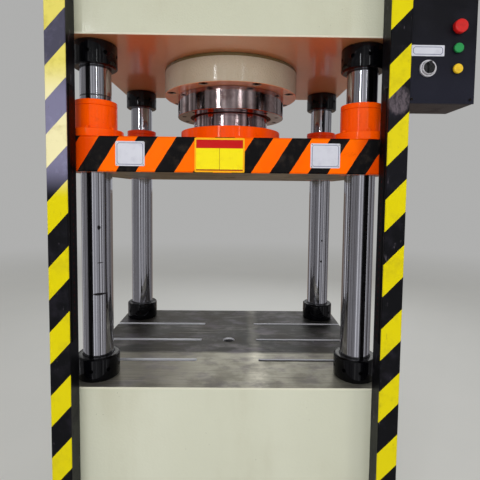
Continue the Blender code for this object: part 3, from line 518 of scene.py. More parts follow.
def bored(piece, cutter):
    """Takes a cutter out of a piece for good, and marks its new corners sharp."""
    mesh = bpy.data.meshes.new("cutter")
    cutter.to_mesh(mesh)
    cutter.free()
    tool = new_object("cutter", mesh)
    step = piece.modifiers.new("bore", "BOOLEAN")
    step.operation = "DIFFERENCE"
    step.solver = "EXACT"
    step.object = tool
    graph = bpy.context.evaluated_depsgraph_get()
    result = bpy.data.meshes.new_from_object(piece.evaluated_get(graph))
    piece.modifiers.clear()
    piece.data = result
    bpy.data.objects.remove(tool)
    bm = bmesh.new()
    bm.from_mesh(result)
    mark_corners(bm)
    bm.to_mesh(result)
    bm.free()


def add_cylinder(bm, matrix, depth, radius, top, segments):
    """A closed cylinder, or a cone where its top has a radius of its own."""
    ends = {"cap_ends": True, "radius1": radius, "radius2": top, "segments": segments}
    return bmesh.ops.create_cone(bm, depth=depth, matrix=matrix, **ends)


def turned_to(out):
    """A turn that brings the upright axis to a direction."""
    return out.to_track_quat("Z", "Y").to_matrix().to_4x4()


def add_rod(bm, start, end, radius, segments=20):
    """A round bar from start to end."""
    along = end - start
    matrix = Matrix.Translation((start + end) / 2) @ turned_to(along)
    add_cylinder(bm, matrix, along.length, radius, radius, segments)


CORNERS = ["front_left", "front_right", "rear_left", "rear_right"]
SEAT = 0.0003
print("pieces seat with a gap of", SEAT * 1000, "mm")

# %% [markdown]
# The columns are ground and hard-chromed, so they mirror the room as upright
# bands. Use has left fine rings from the guide bushes, a few rubbed marks and
# a film of oil. Their ends are threaded: the ridges are part of the section,
# because a bump can't change an outline.

# %% Hard chrome
# Each mark is its x, its height, and half its width and height.
FRONT_MARKS = [
    (-0.420, 1.1765, 0.009, 0.0018),
    (-0.424, 1.072, 0.021, 0.0048),
    (-0.4225, 1.293, 0.005, 0.009),
]
BUSH_RING = (-0.444, 1.722, 0.080, 0.003)
REAR_MARKS = [(0.4505, 1.178, 0.005, 0.006), (0.448, 1.0757, 0.005, 0.006)]


def chrome_finish():
    finish = Finish("hard_chrome", Metallic=1.0)
    tint = finish.patches(0.40, 0.70, 14, 5, 0.6, (1, 1, 0.25))
    rubbed_and_sheen = finish.patches(0.60, 0.72, 240, 2, 0.5, (0.08, 0.08, 1))
    drops = finish.specks(0.05, 0.10, 70, (1, 1, 0.6)) * (finish.noise(11) > 0.56)
    front = sum(finish.spot(*mark) for mark in FRONT_MARKS) + finish.spot(*BUSH_RING) * 0.7
    rear = sum(finish.spot(*mark) for mark in REAR_MARKS) * (finish.y > 0)
    marks = front.smaller(1.0) * (finish.y < 0) + rear
    dark = (marks + drops * 0.35).smaller(1.0)
    clean = finish.blend(tint * 0.35, tone(202, 202, 208), tone(172, 168, 166))
    finish.set("Base Color", finish.blend(dark * 0.95, clean, tone(22, 19, 17)))
    finish.set("Roughness", 0.055 + tint * 0.05 + rubbed_and_sheen * 0.05 + dark * 0.25)
    ground = finish.noise(260, 2, 0.5, (0.05, 0.05, 1))
    finish.bump(ground * 0.3 + drops * 0.4, 0.0002)
    return finish


chrome = chrome_finish()
print("chrome with", len(FRONT_MARKS) + len(REAR_MARKS), "marks")

# %% Threaded columns
COLUMN_RADIUS = 0.050
COLUMN_BORE = COLUMN_RADIUS + SEAT
COLUMN_CHAMFER = 0.004
THREAD_PITCH = 0.006
THREAD_ROOT = COLUMN_RADIUS - 0.0028
TOP_THREAD = 0.100
BOTTOM_THREAD = 0.088


def threaded_column(low, high):
    """Half a column's outline, with a saw-tooth thread at both ends."""
    section = [(0, low), (COLUMN_RADIUS - COLUMN_CHAMFER, low)]
    height = low + COLUMN_CHAMFER
    while height < low + BOTTOM_THREAD:
        section += [(COLUMN_RADIUS, height), (THREAD_ROOT, height + THREAD_PITCH / 2)]
        height += THREAD_PITCH
    section += [(COLUMN_RADIUS, height)]
    height = high - TOP_THREAD
    section += [(COLUMN_RADIUS, height)]
    while height < high - COLUMN_CHAMFER - THREAD_PITCH:
        crest = (COLUMN_RADIUS, height + THREAD_PITCH)
        section += [(THREAD_ROOT, height + THREAD_PITCH / 2), crest]
        height += THREAD_PITCH
    return section + [(COLUMN_RADIUS - COLUMN_CHAMFER, high), (0, high)]


for corner in CORNERS:
    node = f"column_{corner}"
    shaft = spun(threaded_column(*heights(node)))
    name = f"{corner}_column_shaft"
    placed(name, shaft, chrome, "frame", "hard_chrome", node, axis_of(node))

# %% [markdown]
# Two more finishes for turned pieces. Black enamel goes on thick enough to
# run a little and gather dust. Steel straight from the lathe keeps fine rings
# under a brown film of oil.


# %% Black gloss enamel and turned steel
def gloss_black_finish():
    name = "black_gloss_enamel"
    finish = Finish(name, Coat_Weight=0.55, Coat_Roughness=0.025, Specular_IOR_Level=0.05)
    runs = finish.noise(75, 4, 0.6, (1, 1, 0.35))
    speck = finish.specks(0.06, 0.14, 160, (1, 1, 0.5))
    dusty = finish.patches(0.50, 0.75, 13, 5)
    dirt = dusty * 0.5 + speck * 0.25
    finish.set("Base Color", finish.blend(dirt, tone(3, 3, 5), tone(18, 17, 17)))
    finish.set("Roughness", 0.14 + runs * 0.16 + dusty * 0.12)
    finish.bump(runs * 1.2 + speck * 0.5, 0.0028)
    return finish


def turned_bright_finish(name, colour, dull, roughness, metallic=1.0):
    """Bright steel straight from the lathe, with fine rings and brown oil film."""
    finish = Finish(name, Metallic=metallic)
    tint = finish.patches(0.42, 0.72, 17, 5, 0.6)
    rings = finish.noise(700, 2, 0.5, (0.03, 0.03, 1))
    nicks = finish.specks(0.03, 0.07, 120, (1, 1, 2))
    finish.set("Base Color", finish.blend(tint * 0.6 + nicks * 0.3, colour, dull))
    finish.set("Roughness", roughness + tint * roughness * 0.6 + rings * roughness * 0.6)
    finish.bump(rings * 0.5 + nicks * 0.6, 0.0003)
    return finish


gloss_black = gloss_black_finish()
BLACK_ON_FRAME = (gloss_black, "frame", "black_gloss")
nut_steel = turned_bright_finish("nut_steel", tone(190, 176, 160), tone(110, 84, 66), 0.22)
print(gloss_black.material.name, "and", nut_steel.material.name, "mixed")

# %% [markdown]
# Lock rings clamp the table and the crown on the columns. Each is a black
# enamelled collar with drilled holes for a pin spanner and a sawn slit that
# lets it grip. The holes and the slit are cut, since they show as real
# shadows.

# %% Lock rings
RING_RADIUS = 0.0705
RING_CHAMFER = 0.0045
RING_EASE = 0.0008
MOUTH_CHAMFER = 0.002
SPANNER_HOLE_RADIUS = 0.0065
SPANNER_HOLE_DEPTH = 0.014
SPANNER_HOLES = 8
SLIT_WIDTH = 0.0016
SLIT_DEPTH = 0.012
SLIT_ANGLE = math.radians(292)
CUT_OVERRUN = 0.004


def ring_cutter(middle, height):
    """Spanner holes round a ring, and a slit beside one of them."""
    bm = bmesh.new()
    for step in range(SPANNER_HOLES):
        angle = math.tau * step / SPANNER_HOLES
        out = Vector((math.cos(angle), math.sin(angle), 0))
        start = out * (RING_RADIUS - SPANNER_HOLE_DEPTH)
        end = out * (RING_RADIUS + CUT_OVERRUN)
        add_rod(bm, start + UP * middle, end + UP * middle, SPANNER_HOLE_RADIUS)
    size = Matrix.Diagonal((SLIT_DEPTH + CUT_OVERRUN, SLIT_WIDTH, height * 1.2, 1))
    reach = Matrix.Translation((RING_RADIUS - SLIT_DEPTH / 2 + CUT_OVERRUN / 2, 0, middle))
    bmesh.ops.create_cube(bm, size=1, matrix=Matrix.Rotation(SLIT_ANGLE, 4, "Z") @ reach @ size)
    return bm


def lock_ring(node, name):
    low, high = heights(node)
    rim = RING_RADIUS - RING_CHAMFER
    mouth = COLUMN_BORE + MOUTH_CHAMFER
    section = [
        (mouth, low),
        (rim, low),
        (RING_RADIUS, low + RING_CHAMFER),
        (RING_RADIUS, high - RING_CHAMFER),
        (rim, high),
        (mouth, high),
        (COLUMN_BORE, high - MOUTH_CHAMFER),
        (COLUMN_BORE, low + MOUTH_CHAMFER),
    ]
    piece = turned(name, node, section, RING_EASE, *BLACK_ON_FRAME, axis_of(node))
    cutter = ring_cutter((low + high) / 2, high - low)
    bmesh.ops.translate(cutter, verts=cutter.verts, vec=axis_of(node))
    bored(piece, cutter)


for corner in CORNERS:
    lock_ring(f"upper_lock_ring_{corner}", f"{corner}_crown_collar")
    lock_ring(f"lower_lock_ring_{corner}", f"{corner}_table_collar")

# %% [markdown]
# Nuts. Round ones sit under the table, hexagonal ones on the crown. A hexagon
# starts as a six-sided cone with no taper, and its corners are eased before
# the bore is cut, so that the bore's edge stays crisp. The node's box tells
# which way its flats face.

# %% Column nuts
TOP_NUT_FLATS = 0.150
TOP_NUT_CORNERS = TOP_NUT_FLATS / math.cos(math.tau / 12)
TOP_NUT_EASE = 0.004
TABLE_NUT_EASE = 0.002

for corner in CORNERS:
    node = f"bottom_nut_{corner}"
    section = ring_section(COLUMN_BORE, RING_RADIUS, *heights(node))
    name = f"{corner}_table_nut"
    turned(name, node, section, TABLE_NUT_EASE, *BLACK_ON_FRAME, axis_of(node))

for corner in CORNERS:
    node = f"top_nut_{corner}"
    low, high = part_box(node)
    flats_sideways = high.x - low.x < (TOP_NUT_FLATS + TOP_NUT_CORNERS) / 2
    face_turn = Matrix.Rotation(math.tau / 12 if flats_sideways else 0, 4, "Z")
    matrix = Matrix.Translation(UP * (low.z + high.z) / 2) @ face_turn
    radius = TOP_NUT_CORNERS / 2
    bm = bmesh.new()
    add_cylinder(bm, matrix, high.z - low.z, radius, radius, 6)
    eased(bm, TOP_NUT_EASE)
    nut = placed(f"{corner}_crown_nut", bm, *BLACK_ON_FRAME, node, axis_of(node))
    cutter = bmesh.new()
    start = axis_of(node) + UP * (low.z - CUT_OVERRUN)
    end = axis_of(node) + UP * (high.z + CUT_OVERRUN)
    add_rod(cutter, start, end, COLUMN_BORE, ROUND_STEPS)
    bored(nut, cutter)

# %% [markdown]
# Screws. Socket-head cap screws hold the flanges and covers. One function
# makes a head: a short cylinder whose end face is inset and pushed in. A
# head's size is its radius and height.

# %% Cap screws
DOWN = -UP
FORWARD = Vector((0, -1, 0))


def add_cap_screw(bm, seat, out, size):
    """A socket-head screw that stands on seat, points along out and has a head of a size."""
    radius, height = size
    matrix = Matrix.Translation(seat + out * (height / 2)) @ turned_to(out)
    head = add_cylinder(bm, matrix, height, radius, radius * 0.93, 18)
    faces = {face for vert in head["verts"] for face in vert.link_faces}
    top = max(faces, key=lambda face: face.calc_center_median().dot(out))
    bmesh.ops.inset_individual(bm, faces=[top], thickness=radius * 0.42)
    deeper = bmesh.ops.extrude_discrete_faces(bm, faces=[top])["faces"][0]
    bmesh.ops.translate(bm, verts=deeper.verts, vec=out * (height * -0.55))


def screws(name, spots, out, size, finish, body, slot):
    bm = bmesh.new()
    for spot in spots:
        add_cap_screw(bm, spot, out, size)
    placed(name, bm, finish, body, slot)


def on_circle(centre, radius, count, height, offset=0.0):
    """Places on a bolt circle, turned by offset of a step."""
    angles = [math.tau * (step + offset) / count for step in range(count)]
    return [centre + Vector((radius * math.cos(a), radius * math.sin(a), height)) for a in angles]


def sunk(cutter, seats, radius, depth, segments):
    """Adds a bolt hole over each seat to a cutter, and gives the places at their ends."""
    for seat in seats:
        add_rod(cutter, seat + DOWN * CUT_OVERRUN, seat + UP * depth, radius, segments)
    return [seat + UP * depth for seat in seats]


dark_steel = turned_bright_finish("blackened_screw", tone(64, 58, 54), tone(24, 22, 21), 0.30)
print("screws of", dark_steel.material.name)

# %% [markdown]
# The main cylinder hangs in the crown by a thick mounting flange. Eight
# counterbored bolts fill its rim from below. The barrel is bored right
# through, as on the real one, and the flange has an oil port at its rear.

# %% Main cylinder barrel
BORE_RADIUS = 0.170
BARREL_RADIUS = 0.2155
FLANGE_RADIUS = 0.2675
FLANGE_BOLTS = 8
FLANGE_BOLT_CIRCLE = 0.246
FLANGE_BOLT = (0.0145, 0.0125)
FLANGE_EASE = 0.003
COUNTERBORE = {"radius": 0.018, "depth": 0.014, "segments": 28}
REAR_PORT_RADIUS = 0.009
REAR_PORT_FROM, REAR_PORT_TO = 0.160, 0.280
LOWER_RIM = 0.060

flange_low, barrel_high = heights("cylinder_barrel")
flange_top = crown_foot - SEAT
steps = (FLANGE_RADIUS, flange_top), (BARREL_RADIUS, barrel_high)
section = stepped(BORE_RADIUS, flange_low, *steps)
look = (shaded_flange_cream, "frame", "cream_paint")
barrel = turned("flanged_barrel", "cylinder_barrel", section, FLANGE_EASE, *look)
seats = on_circle(CENTRE, FLANGE_BOLT_CIRCLE, FLANGE_BOLTS, flange_low, 0.5)
cutter = bmesh.new()
heads = sunk(cutter, seats, **COUNTERBORE)
port_height = (flange_low + LOWER_RIM + flange_top) / 2
port = [Vector((0, y, port_height)) for y in (REAR_PORT_FROM, REAR_PORT_TO)]
add_rod(cutter, *port, REAR_PORT_RADIUS)
bored(barrel, cutter)
screws("flange_bolts", heads, DOWN, FLANGE_BOLT, dark_steel, "frame", "cream_paint")

# %% [markdown]
# The polished gland closes the cylinder from below and guides the rod. It has
# twelve bolts in recesses, a groove for the wiper at its mouth and one for
# the seal higher up, all in one section.

# %% Gland
GLAND_BOLTS = 12
GLAND_BOLT_CIRCLE = 0.191
GLAND_BOLT = (0.007, 0.0095)
GLAND_EASE = 0.002
GLAND_RECESS = {"radius": 0.0085, "depth": 0.012, "segments": 20}
ROD_RADIUS = 0.1505
ROD_CLEAR = ROD_RADIUS + SEAT
WIPER_GROOVE = ROD_CLEAR + 0.014
WIPER_HEIGHT = 0.012
SEAL_GROOVE = ROD_CLEAR + 0.012
SEAL_HEIGHT = 0.030
SEAL_RISE = 0.085
SPIGOT_RADIUS = BORE_RADIUS - SEAT

gland_steel = turned_bright_finish("gland_steel", tone(182, 164, 162), tone(112, 76, 68), 0.05)
gland_low, gland_high = heights("cylinder_gland")
wiper_top = gland_low + WIPER_HEIGHT
seal_low = gland_low + SEAL_RISE
section = [
    (WIPER_GROOVE, gland_low),
    (BARREL_RADIUS, gland_low),
    (BARREL_RADIUS, flange_low - SEAT),
    (SPIGOT_RADIUS, flange_low - SEAT),
    (SPIGOT_RADIUS, gland_high),
    (ROD_CLEAR, gland_high),
    (ROD_CLEAR, seal_low + SEAL_HEIGHT),
    (SEAL_GROOVE, seal_low + SEAL_HEIGHT),
    (SEAL_GROOVE, seal_low),
    (ROD_CLEAR, seal_low),
    (ROD_CLEAR, wiper_top),
    (WIPER_GROOVE, wiper_top),
]
look = (gland_steel, "frame", "bright_steel")
gland = turned("polished_gland", "cylinder_gland", section, GLAND_EASE, *look)
seats = on_circle(CENTRE, GLAND_BOLT_CIRCLE, GLAND_BOLTS, gland_low, 0.5)
cutter = bmesh.new()
heads = sunk(cutter, seats, **GLAND_RECESS)
bored(gland, cutter)
screws("gland_bolts", heads, DOWN, GLAND_BOLT, dark_steel, "frame", "bright_steel")

# %% [markdown]
# Above the crown stand the barrel's round nut and its head with the pressure
# port. Both are simple sections, and the port is the hole down the middle of
# the head's boss.

# %% Cylinder nut and head
NUT_RADIUS = 0.260
HEAD_THICKNESS = 0.070
PORT_RADIUS = 0.0225
BOSS_RADIUS = 0.065
HEAD_BOLTS = 12
HEAD_BOLT_CIRCLE = 0.185
HEAD_BOLT = (0.012, 0.012)
NUT_EASE = 0.005

section = ring_section(BARREL_RADIUS + SEAT, NUT_RADIUS, *heights("barrel_nut"))
look = (nut_steel, "frame", "bright_steel")
turned("round_barrel_nut", "barrel_nut", section, NUT_EASE, *look)

head_low, head_high = heights("cylinder_head")
plate_low = barrel_high + SEAT
plate_high = plate_low + HEAD_THICKNESS
steps = (SPIGOT_RADIUS, plate_low), (BARREL_RADIUS, plate_high), (BOSS_RADIUS, head_high)
section = stepped(PORT_RADIUS, head_low, *steps)
look = (beam_cream, "frame", "cream_paint")
turned("ported_head", "cylinder_head", section, FLANGE_EASE, *look)
spots = on_circle(CENTRE, HEAD_BOLT_CIRCLE, HEAD_BOLTS, plate_high)
screws("head_bolts", spots, UP, HEAD_BOLT, dark_steel, "frame", "cream_paint")

# %% [markdown]
# The ram: a chromed rod, the wiper that shows round it, and the flange that holds it to the
# slide. The flange is enamelled orange like the slide, with cloudy patches of a deeper orange.


# %% Orange enamel
def orange_enamel(name, colour, deep):
    finish = Finish(name, Coat_Weight=0.38, Coat_Roughness=0.04, Specular_IOR_Level=0.03)
    cloud = finish.patches(0.38, 0.70, 6, 5)
    dirt = finish.patches(0.58, 0.78, 24, 6, 0.65)
    speck = finish.specks(0.03, 0.08, 75) * (finish.noise(8) > 0.58)
    grime = dirt * 0.30 + speck * 0.5
    base = finish.layered(colour, (cloud * 0.6, deep), (grime, tone(96, 28, 6)))
    finish.paint(base, 0.26 + cloud * 0.10 + dirt * 0.14)
    finish.bump(finish.noise(140, 2) * 0.6 + finish.noise(22, 3) * 0.9, 0.0007)
    return finish


orange = orange_enamel("orange_enamel", tone(250, 86, 0), tone(238, 72, 0))
print(orange.material.name, "mixed")

# %% Rod and ram flange
RAM_FLANGE_RADIUS = 0.2025
RAM_FLANGE_BOLTS = 12
RAM_FLANGE_BOLT_CIRCLE = 0.177
RAM_FLANGE_BOLT = (0.010, 0.0022)
ROD_EASE = 0.0015
PISTON_SEAT_RADIUS = 0.100 - SEAT

rod_chrome = turned_bright_finish("rod_chrome", tone(190, 168, 168), tone(152, 124, 120), 0.05)
rod_low, rod_high = heights("piston_rod")
shoulder = heights("piston")[0] - SEAT
section = stepped(0, rod_low, (ROD_RADIUS, shoulder), (PISTON_SEAT_RADIUS, rod_high))
turned("chromed_rod", "piston_rod", section, ROD_EASE, rod_chrome, "ram", "hard_chrome")

collar_low, collar_high = heights("ram_flange")
section = ring_section(ROD_CLEAR, RAM_FLANGE_RADIUS, collar_low, collar_high)
look = (orange, "ram", "orange_paint")
turned("orange_ram_flange", "ram_flange", section, FLANGE_EASE, *look)
spots = on_circle(CENTRE, RAM_FLANGE_BOLT_CIRCLE, RAM_FLANGE_BOLTS, collar_high)
screws("ram_flange_bolts", spots, UP, RAM_FLANGE_BOLT, *look)

# %% Wiper, seal, rings and piston
rubber = Finish("seal_rubber", Specular_IOR_Level=0.3)
bloom = rubber.patches(0.42, 0.70, 30, 5)
rubber.paint(rubber.blend(bloom * 0.6, tone(22, 21, 21), tone(58, 52, 48)), 0.5 + bloom * 0.2)
rubber.bump(rubber.noise(400, 2), 0.0002)
section = ring_section(ROD_CLEAR, WIPER_GROOVE - SEAT, *heights("rod_wiper"))
turned("wiper_lip", "rod_wiper", section, FLANGE_EASE, rubber, "frame", "seal_rubber")
dress(["rod_seal", "piston_ring_lower", "piston_ring_upper"], rubber)
polished = turned_bright_finish("polished_steel", tone(214, 208, 198), tone(158, 140, 122), 0.10)
dress(["piston", "piston_nut", "ejector_piston"], polished)

# %% [markdown]
# The slide. Hazard stripes are sprayed on its front and back over the orange,
# its underside is ground bare to take dies, and so is the hole in it for a
# die's shank. The stripes lean to the right, so their mask is a saw-tooth of
# x less a share of the height.

# %% Striped slide
STRIPE_PITCH = 0.1205
STRIPE_SHARE = 0.513
STRIPE_START = -0.4703
STRIPE_LEAN = 0.63
SHADED_END = 0.400
SHANK_BORE = 0.030
slide_low, slide_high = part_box("slide_beam")


def slide_finish():
    finish = orange_enamel("striped_slide_enamel", tone(255, 106, 0), tone(244, 88, 0))
    wander = finish.noise(35, 3) * 0.004
    leaned = finish.x - (finish.z - slide_low.z) * STRIPE_LEAN + wander
    phase = ((leaned - STRIPE_START) / STRIPE_PITCH).math("FRACT")
    stripe = (phase < STRIPE_SHARE) * (abs(finish.facing_y) > 0.6)
    wavy_x = abs(finish.x) + finish.noise(9) * 0.03
    ends = finish.smooth_step(wavy_x, SHADED_END, SHADED_END + 0.06)
    dust = finish.patches(0.48, 0.74, 28, 5, 0.65)
    black = finish.blend(dust * 0.45, tone(17, 16, 17), tone(58, 50, 44))
    bore = (finish.x * finish.x + finish.y * finish.y) < SHANK_BORE * SHANK_BORE
    under = (finish.facing_z < -0.8).larger(bore)
    oily = finish.patches(0.40, 0.68, 7, 6, 0.62)
    ground = finish.blend(oily * 0.7, tone(166, 152, 116), tone(106, 94, 66))
    orange_coat = finish.colour_so_far()
    layers = (ends * 0.7, tone(206, 48, 0)), (stripe, black), (under, ground)
    finish.set("Base Color", finish.layered(orange_coat, *layers))
    finish.set("Metallic", under * 0.9)
    finish.set("Roughness", 0.28 + dust * 0.16 + under * 0.08)
    finish.set("Coat Weight", (1 - under) * 0.06)
    return finish


dress(["slide_beam"], slide_finish())

# %% [markdown]
# Guide bushes carry the slide up and down the columns. Each has a stepped
# flange with six screws, a long neck and a cap that holds the scraper. The
# rear pair are in the shade and carry a darker coat.

# %% Guide bushes
BUSH_RADIUS = 0.0682
BUSH_FLANGE_RADIUS = 0.0885
BUSH_FLANGE_HEIGHT = 0.026
BUSH_EASE = 0.0022
BUSH_SCREWS = 6
FLANGE_SCREW_CIRCLE = 0.0785
CAP_SCREW_CIRCLE = 0.0600
FLANGE_SCREW = (0.0065, 0.0065)
CAP_SCREW = (0.0042, 0.0012)

dark_orange = orange_enamel("shaded_orange_enamel", tone(222, 62, 6), tone(190, 40, 4))
for corner in CORNERS:
    node = f"guide_bush_{corner}"
    cap_node = f"bush_cap_{corner}"
    low, high = heights(node)
    cap_low, cap_high = heights(cap_node)
    coat = orange if corner.startswith("front") else dark_orange
    foot = slide_high.z + SEAT
    step = foot + BUSH_FLANGE_HEIGHT
    steps = (BUSH_RADIUS, foot), (BUSH_FLANGE_RADIUS, step), (BUSH_RADIUS, high)
    section = stepped(COLUMN_BORE, low, *steps)
    place = axis_of(node)
    look = (coat, "ram", "orange_paint")
    turned(f"{corner}_bush", node, section, BUSH_EASE, *look, place)
    section = ring_section(COLUMN_BORE, BUSH_RADIUS, cap_low, cap_high)
    turned(f"{corner}_bush_cap", cap_node, section, BUSH_EASE, *look, place)
    bm = bmesh.new()
    for spot in on_circle(place, FLANGE_SCREW_CIRCLE, BUSH_SCREWS, step, 0.5):
        add_cap_screw(bm, spot, UP, FLANGE_SCREW)
    for spot in on_circle(place, CAP_SCREW_CIRCLE, BUSH_SCREWS, cap_high, 0.5):
        add_cap_screw(bm, spot, UP, CAP_SCREW)
    placed(f"{corner}_bush_screws", bm, *look)

# %% [markdown]
# Plates on the slide. Two white ones have a thin ruled border with notched
# corners, and a yellow one has a red field, a rule at its foot and a divider.
# A plate is a thin box with its four corners bevelled, and its fields are
# masks measured in metres from its edges.

# %% Plates
PLATE_THICKNESS = 0.0016
PLATE_CORNER = 0.004
PLATE_EASE = 0.0003
LINE_FROM, LINE_TO = 0.0045, 0.0063
NOTCH_FROM, NOTCH_TO = 0.0150, 0.0172


def thin_sheet(left, right, foot, head, back, thickness, corner):
    """A thin upright sheet in front of a back, with cut corners."""
    bm = bmesh.new()
    size = Matrix.Diagonal((right - left, thickness, head - foot, 1))
    middle = ((left + right) / 2, back - thickness / 2, (foot + head) / 2)
    bmesh.ops.create_cube(bm, size=1, matrix=Matrix.Translation(middle) @ size)
    deep = [e for e in bm.edges if (e.verts[0].co - e.verts[1].co).xz.length < thickness / 2]
    return bevelled(bm, deep, corner, 3)


def near_corners(left, right, foot, head, front, inset):
    """A place near each corner of a sheet's front."""
    rows = (foot + inset, head - inset)
    return [Vector((x, front, z)) for x in (left + inset, right - inset) for z in rows]


def plate(name, left, right, foot, head, finish):
    """A plate on the slide's front."""
    bm = thin_sheet(left, right, foot, head, slide_low.y, PLATE_THICKNESS, PLATE_CORNER)
    placed(name, eased(bm, PLATE_EASE, 1), finish, "ram", "orange_paint")


def from_edges(finish, left, right, foot, head):
    """How far a place on a plate is from its nearer side, and from its foot or head."""
    beside = (right - left) / 2 - abs(finish.x - (left + right) / 2)
    above = (head - foot) / 2 - abs(finish.z - (foot + head) / 2)
    return beside, above


def ruled_white(name, left, right, foot, head):
    """White enamel with a thin blue-grey line inside its edge."""
    finish = Finish(name, Coat_Weight=0.3, Coat_Roughness=0.10)
    beside, above = from_edges(finish, left, right, foot, head)
    inset = beside.smaller(above)
    notch = beside + above
    notch_line = finish.band(notch, NOTCH_FROM, NOTCH_TO) * (inset > LINE_FROM)
    line = finish.band(inset, LINE_FROM, LINE_TO).larger(notch_line) * (notch > NOTCH_FROM)
    grey = finish.patches(0.45, 0.75, 40, 5)
    layers = (grey * 0.5, tone(172, 172, 186)), (line * 0.9, tone(62, 68, 104))
    finish.paint(finish.layered(tone(197, 198, 208), *layers), 0.30 + grey * 0.15)
    return finish


# %% White plates
PLATE_FOOT, PLATE_HEAD = 1.492, 1.569
PLATE_SCREW = (0.0022, 0.0012)
WHITE_PLATES = {"left_plate": (-0.352, -0.261), "right_plate": (0.258, 0.351)}
screw_steel = turned_bright_finish("plate_screw", tone(200, 196, 190), tone(130, 120, 110), 0.2)
for name, (left, right) in WHITE_PLATES.items():
    sides = (left, right, PLATE_FOOT, PLATE_HEAD)
    plate(name, *sides, ruled_white(f"{name}_enamel", *sides))
    spots = near_corners(*sides, slide_low.y - PLATE_THICKNESS, LINE_FROM)
    screws(f"{name}_screws", spots, FORWARD, PLATE_SCREW, screw_steel, "ram", "orange_paint")

# %% Yellow plate
YELLOW_SIDES = (-0.1055, 0.0515, 1.4750, 1.5825)
YELLOW_RIM = 0.0055
RED_FOOT, RED_HEAD = 1.5500, 1.5765
RULE_FOOT = YELLOW_SIDES[2] + YELLOW_RIM
RULE_HEIGHT = 0.004
DIVIDER = -0.0272
DIVIDER_HALF_WIDTH = 0.0012


def yellow_plate_finish():
    look = {"Coat_Weight": 0.06, "Coat_Roughness": 0.10, "Specular_IOR_Level": 0.15}
    finish = Finish("yellow_plate_enamel", **look)
    beside, above = from_edges(finish, *YELLOW_SIDES)
    field = beside.smaller(above) > YELLOW_RIM
    red = finish.band(finish.z, RED_FOOT, RED_HEAD) * field
    rule = finish.band(finish.z, RULE_FOOT, RULE_FOOT + RULE_HEIGHT) * field
    on_divider = abs(finish.x - DIVIDER) < DIVIDER_HALF_WIDTH
    divide = on_divider * field * (finish.z < RED_FOOT)
    dirt = finish.patches(0.50, 0.78, 40, 5)
    base = finish.layered(
        tone(236, 168, 10),
        (field, tone(236, 217, 8)),
        (dirt * 0.25, tone(190, 140, 20)),
        (divide * 0.7, tone(150, 110, 10)),
        (red, tone(184, 10, 8)),
        (rule, tone(146, 44, 6)),
    )
    finish.paint(base, 0.30 + dirt * 0.15)
    return finish


plate("yellow_plate", *YELLOW_SIDES, yellow_plate_finish())

# %% [markdown]
# The guard posts are powder-coated square tubes with striped tape down the front. The tape is
# printed in slanting fields of yellow and black. Both colours are scuffed. On the left post both
# are washed pale at the height of the slide, a painted sheen. On the right post the black has a
# streaked grey-blue patch beside the control box, also a painted sheen.

# %% Taped posts
TAPE_SHARE = 0.497
SHEEN_FROM, SHEEN_FULL = 1.39, 1.50
SHEEN_ENDS, SHEEN_OVER = 1.68, 1.80
SHEEN_SPOT = (0.500, 1.690, 0.038, 0.044)
LEFT_TAPE = {"first_edge": 1.8415, "pitch": 0.1974, "slope": 1.10, "wash": 0.80}
RIGHT_TAPE = {"first_edge": 1.8556, "pitch": 0.1972, "slope": 1.03, "wash": 0.01}


def post_finish(name, right_edge, first_edge, pitch, slope, wash):
    """Tape whose first yellow field starts at first_edge on the post's right edge."""
    finish = Finish(name, Coat_Weight=0.04, Coat_Roughness=0.2, Specular_IOR_Level=0.12)
    climbed = finish.z - (finish.x - right_edge) * slope + finish.noise(30, 2) * 0.002
    phase = ((first_edge - climbed) / pitch).math("FRACT")
    on_front = finish.facing_y < -0.7
    yellow = (phase < TAPE_SHARE) * on_front
    worn = finish.patches(0.48, 0.74, 18, 6, 0.65)
    nail = finish.patches(0.64, 0.70, 60, 3, 0.6, (1, 1, 0.35))
    # Between 1.39 m and 1.8 m the front is washed pale by the post's share of wash: a painted
    # sheen, strong on the left post and almost none on the right.
    high_end = finish.smooth_step(finish.z, SHEEN_ENDS, SHEEN_OVER)
    rubbed_and_sheen = finish.smooth_step(finish.z, SHEEN_FROM, SHEEN_FULL) * (1 - high_end * 0.7)
    sheen_wash = rubbed_and_sheen * wash * on_front
    grime = worn * 0.30 + nail * 0.3
    layers = (sheen_wash, tone(236, 228, 192)), (grime, tone(150, 132, 30))
    yellow_coat = finish.layered(tone(213, 198, 0), *layers)
    streaks = finish.patches(0.38, 0.62, 80, 5, 0.75, (1, 1, 0.4))
    # A streaked grey-blue patch is painted on the black beside the control box: a painted sheen.
    sheen_streaks = finish.spot(*SHEEN_SPOT) * (0.15 + streaks * 0.85)
    black_coat = finish.layered(
        tone(13, 13, 16),
        (worn * 0.5, tone(40, 37, 46)),
        (sheen_wash * (0.65 + worn * 0.35), tone(160, 157, 192)),
        (nail * 0.45, tone(96, 90, 98)),
        (sheen_streaks * 0.62, tone(112, 101, 108)),
    )
    finish.set("Base Color", finish.blend(yellow, black_coat, yellow_coat))
    finish.set("Roughness", 0.40 + worn * 0.18 - nail * 0.05)
    finish.bump(finish.noise(600, 2) * 0.4 + nail * 0.4, 0.0003)
    return finish


left_low, left_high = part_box("guard_post_left")
right_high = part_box("guard_post_right")[1]
dress(["guard_post_left"], post_finish("left_taped_post", left_high.x, **LEFT_TAPE))
dress(["guard_post_right"], post_finish("right_taped_post", right_high.x, **RIGHT_TAPE))

# %% [markdown]
# Light curtains watch the opening from the posts' inner faces. The bar is a
# smoked lens over a row of little sensors, which show as dim red dots.

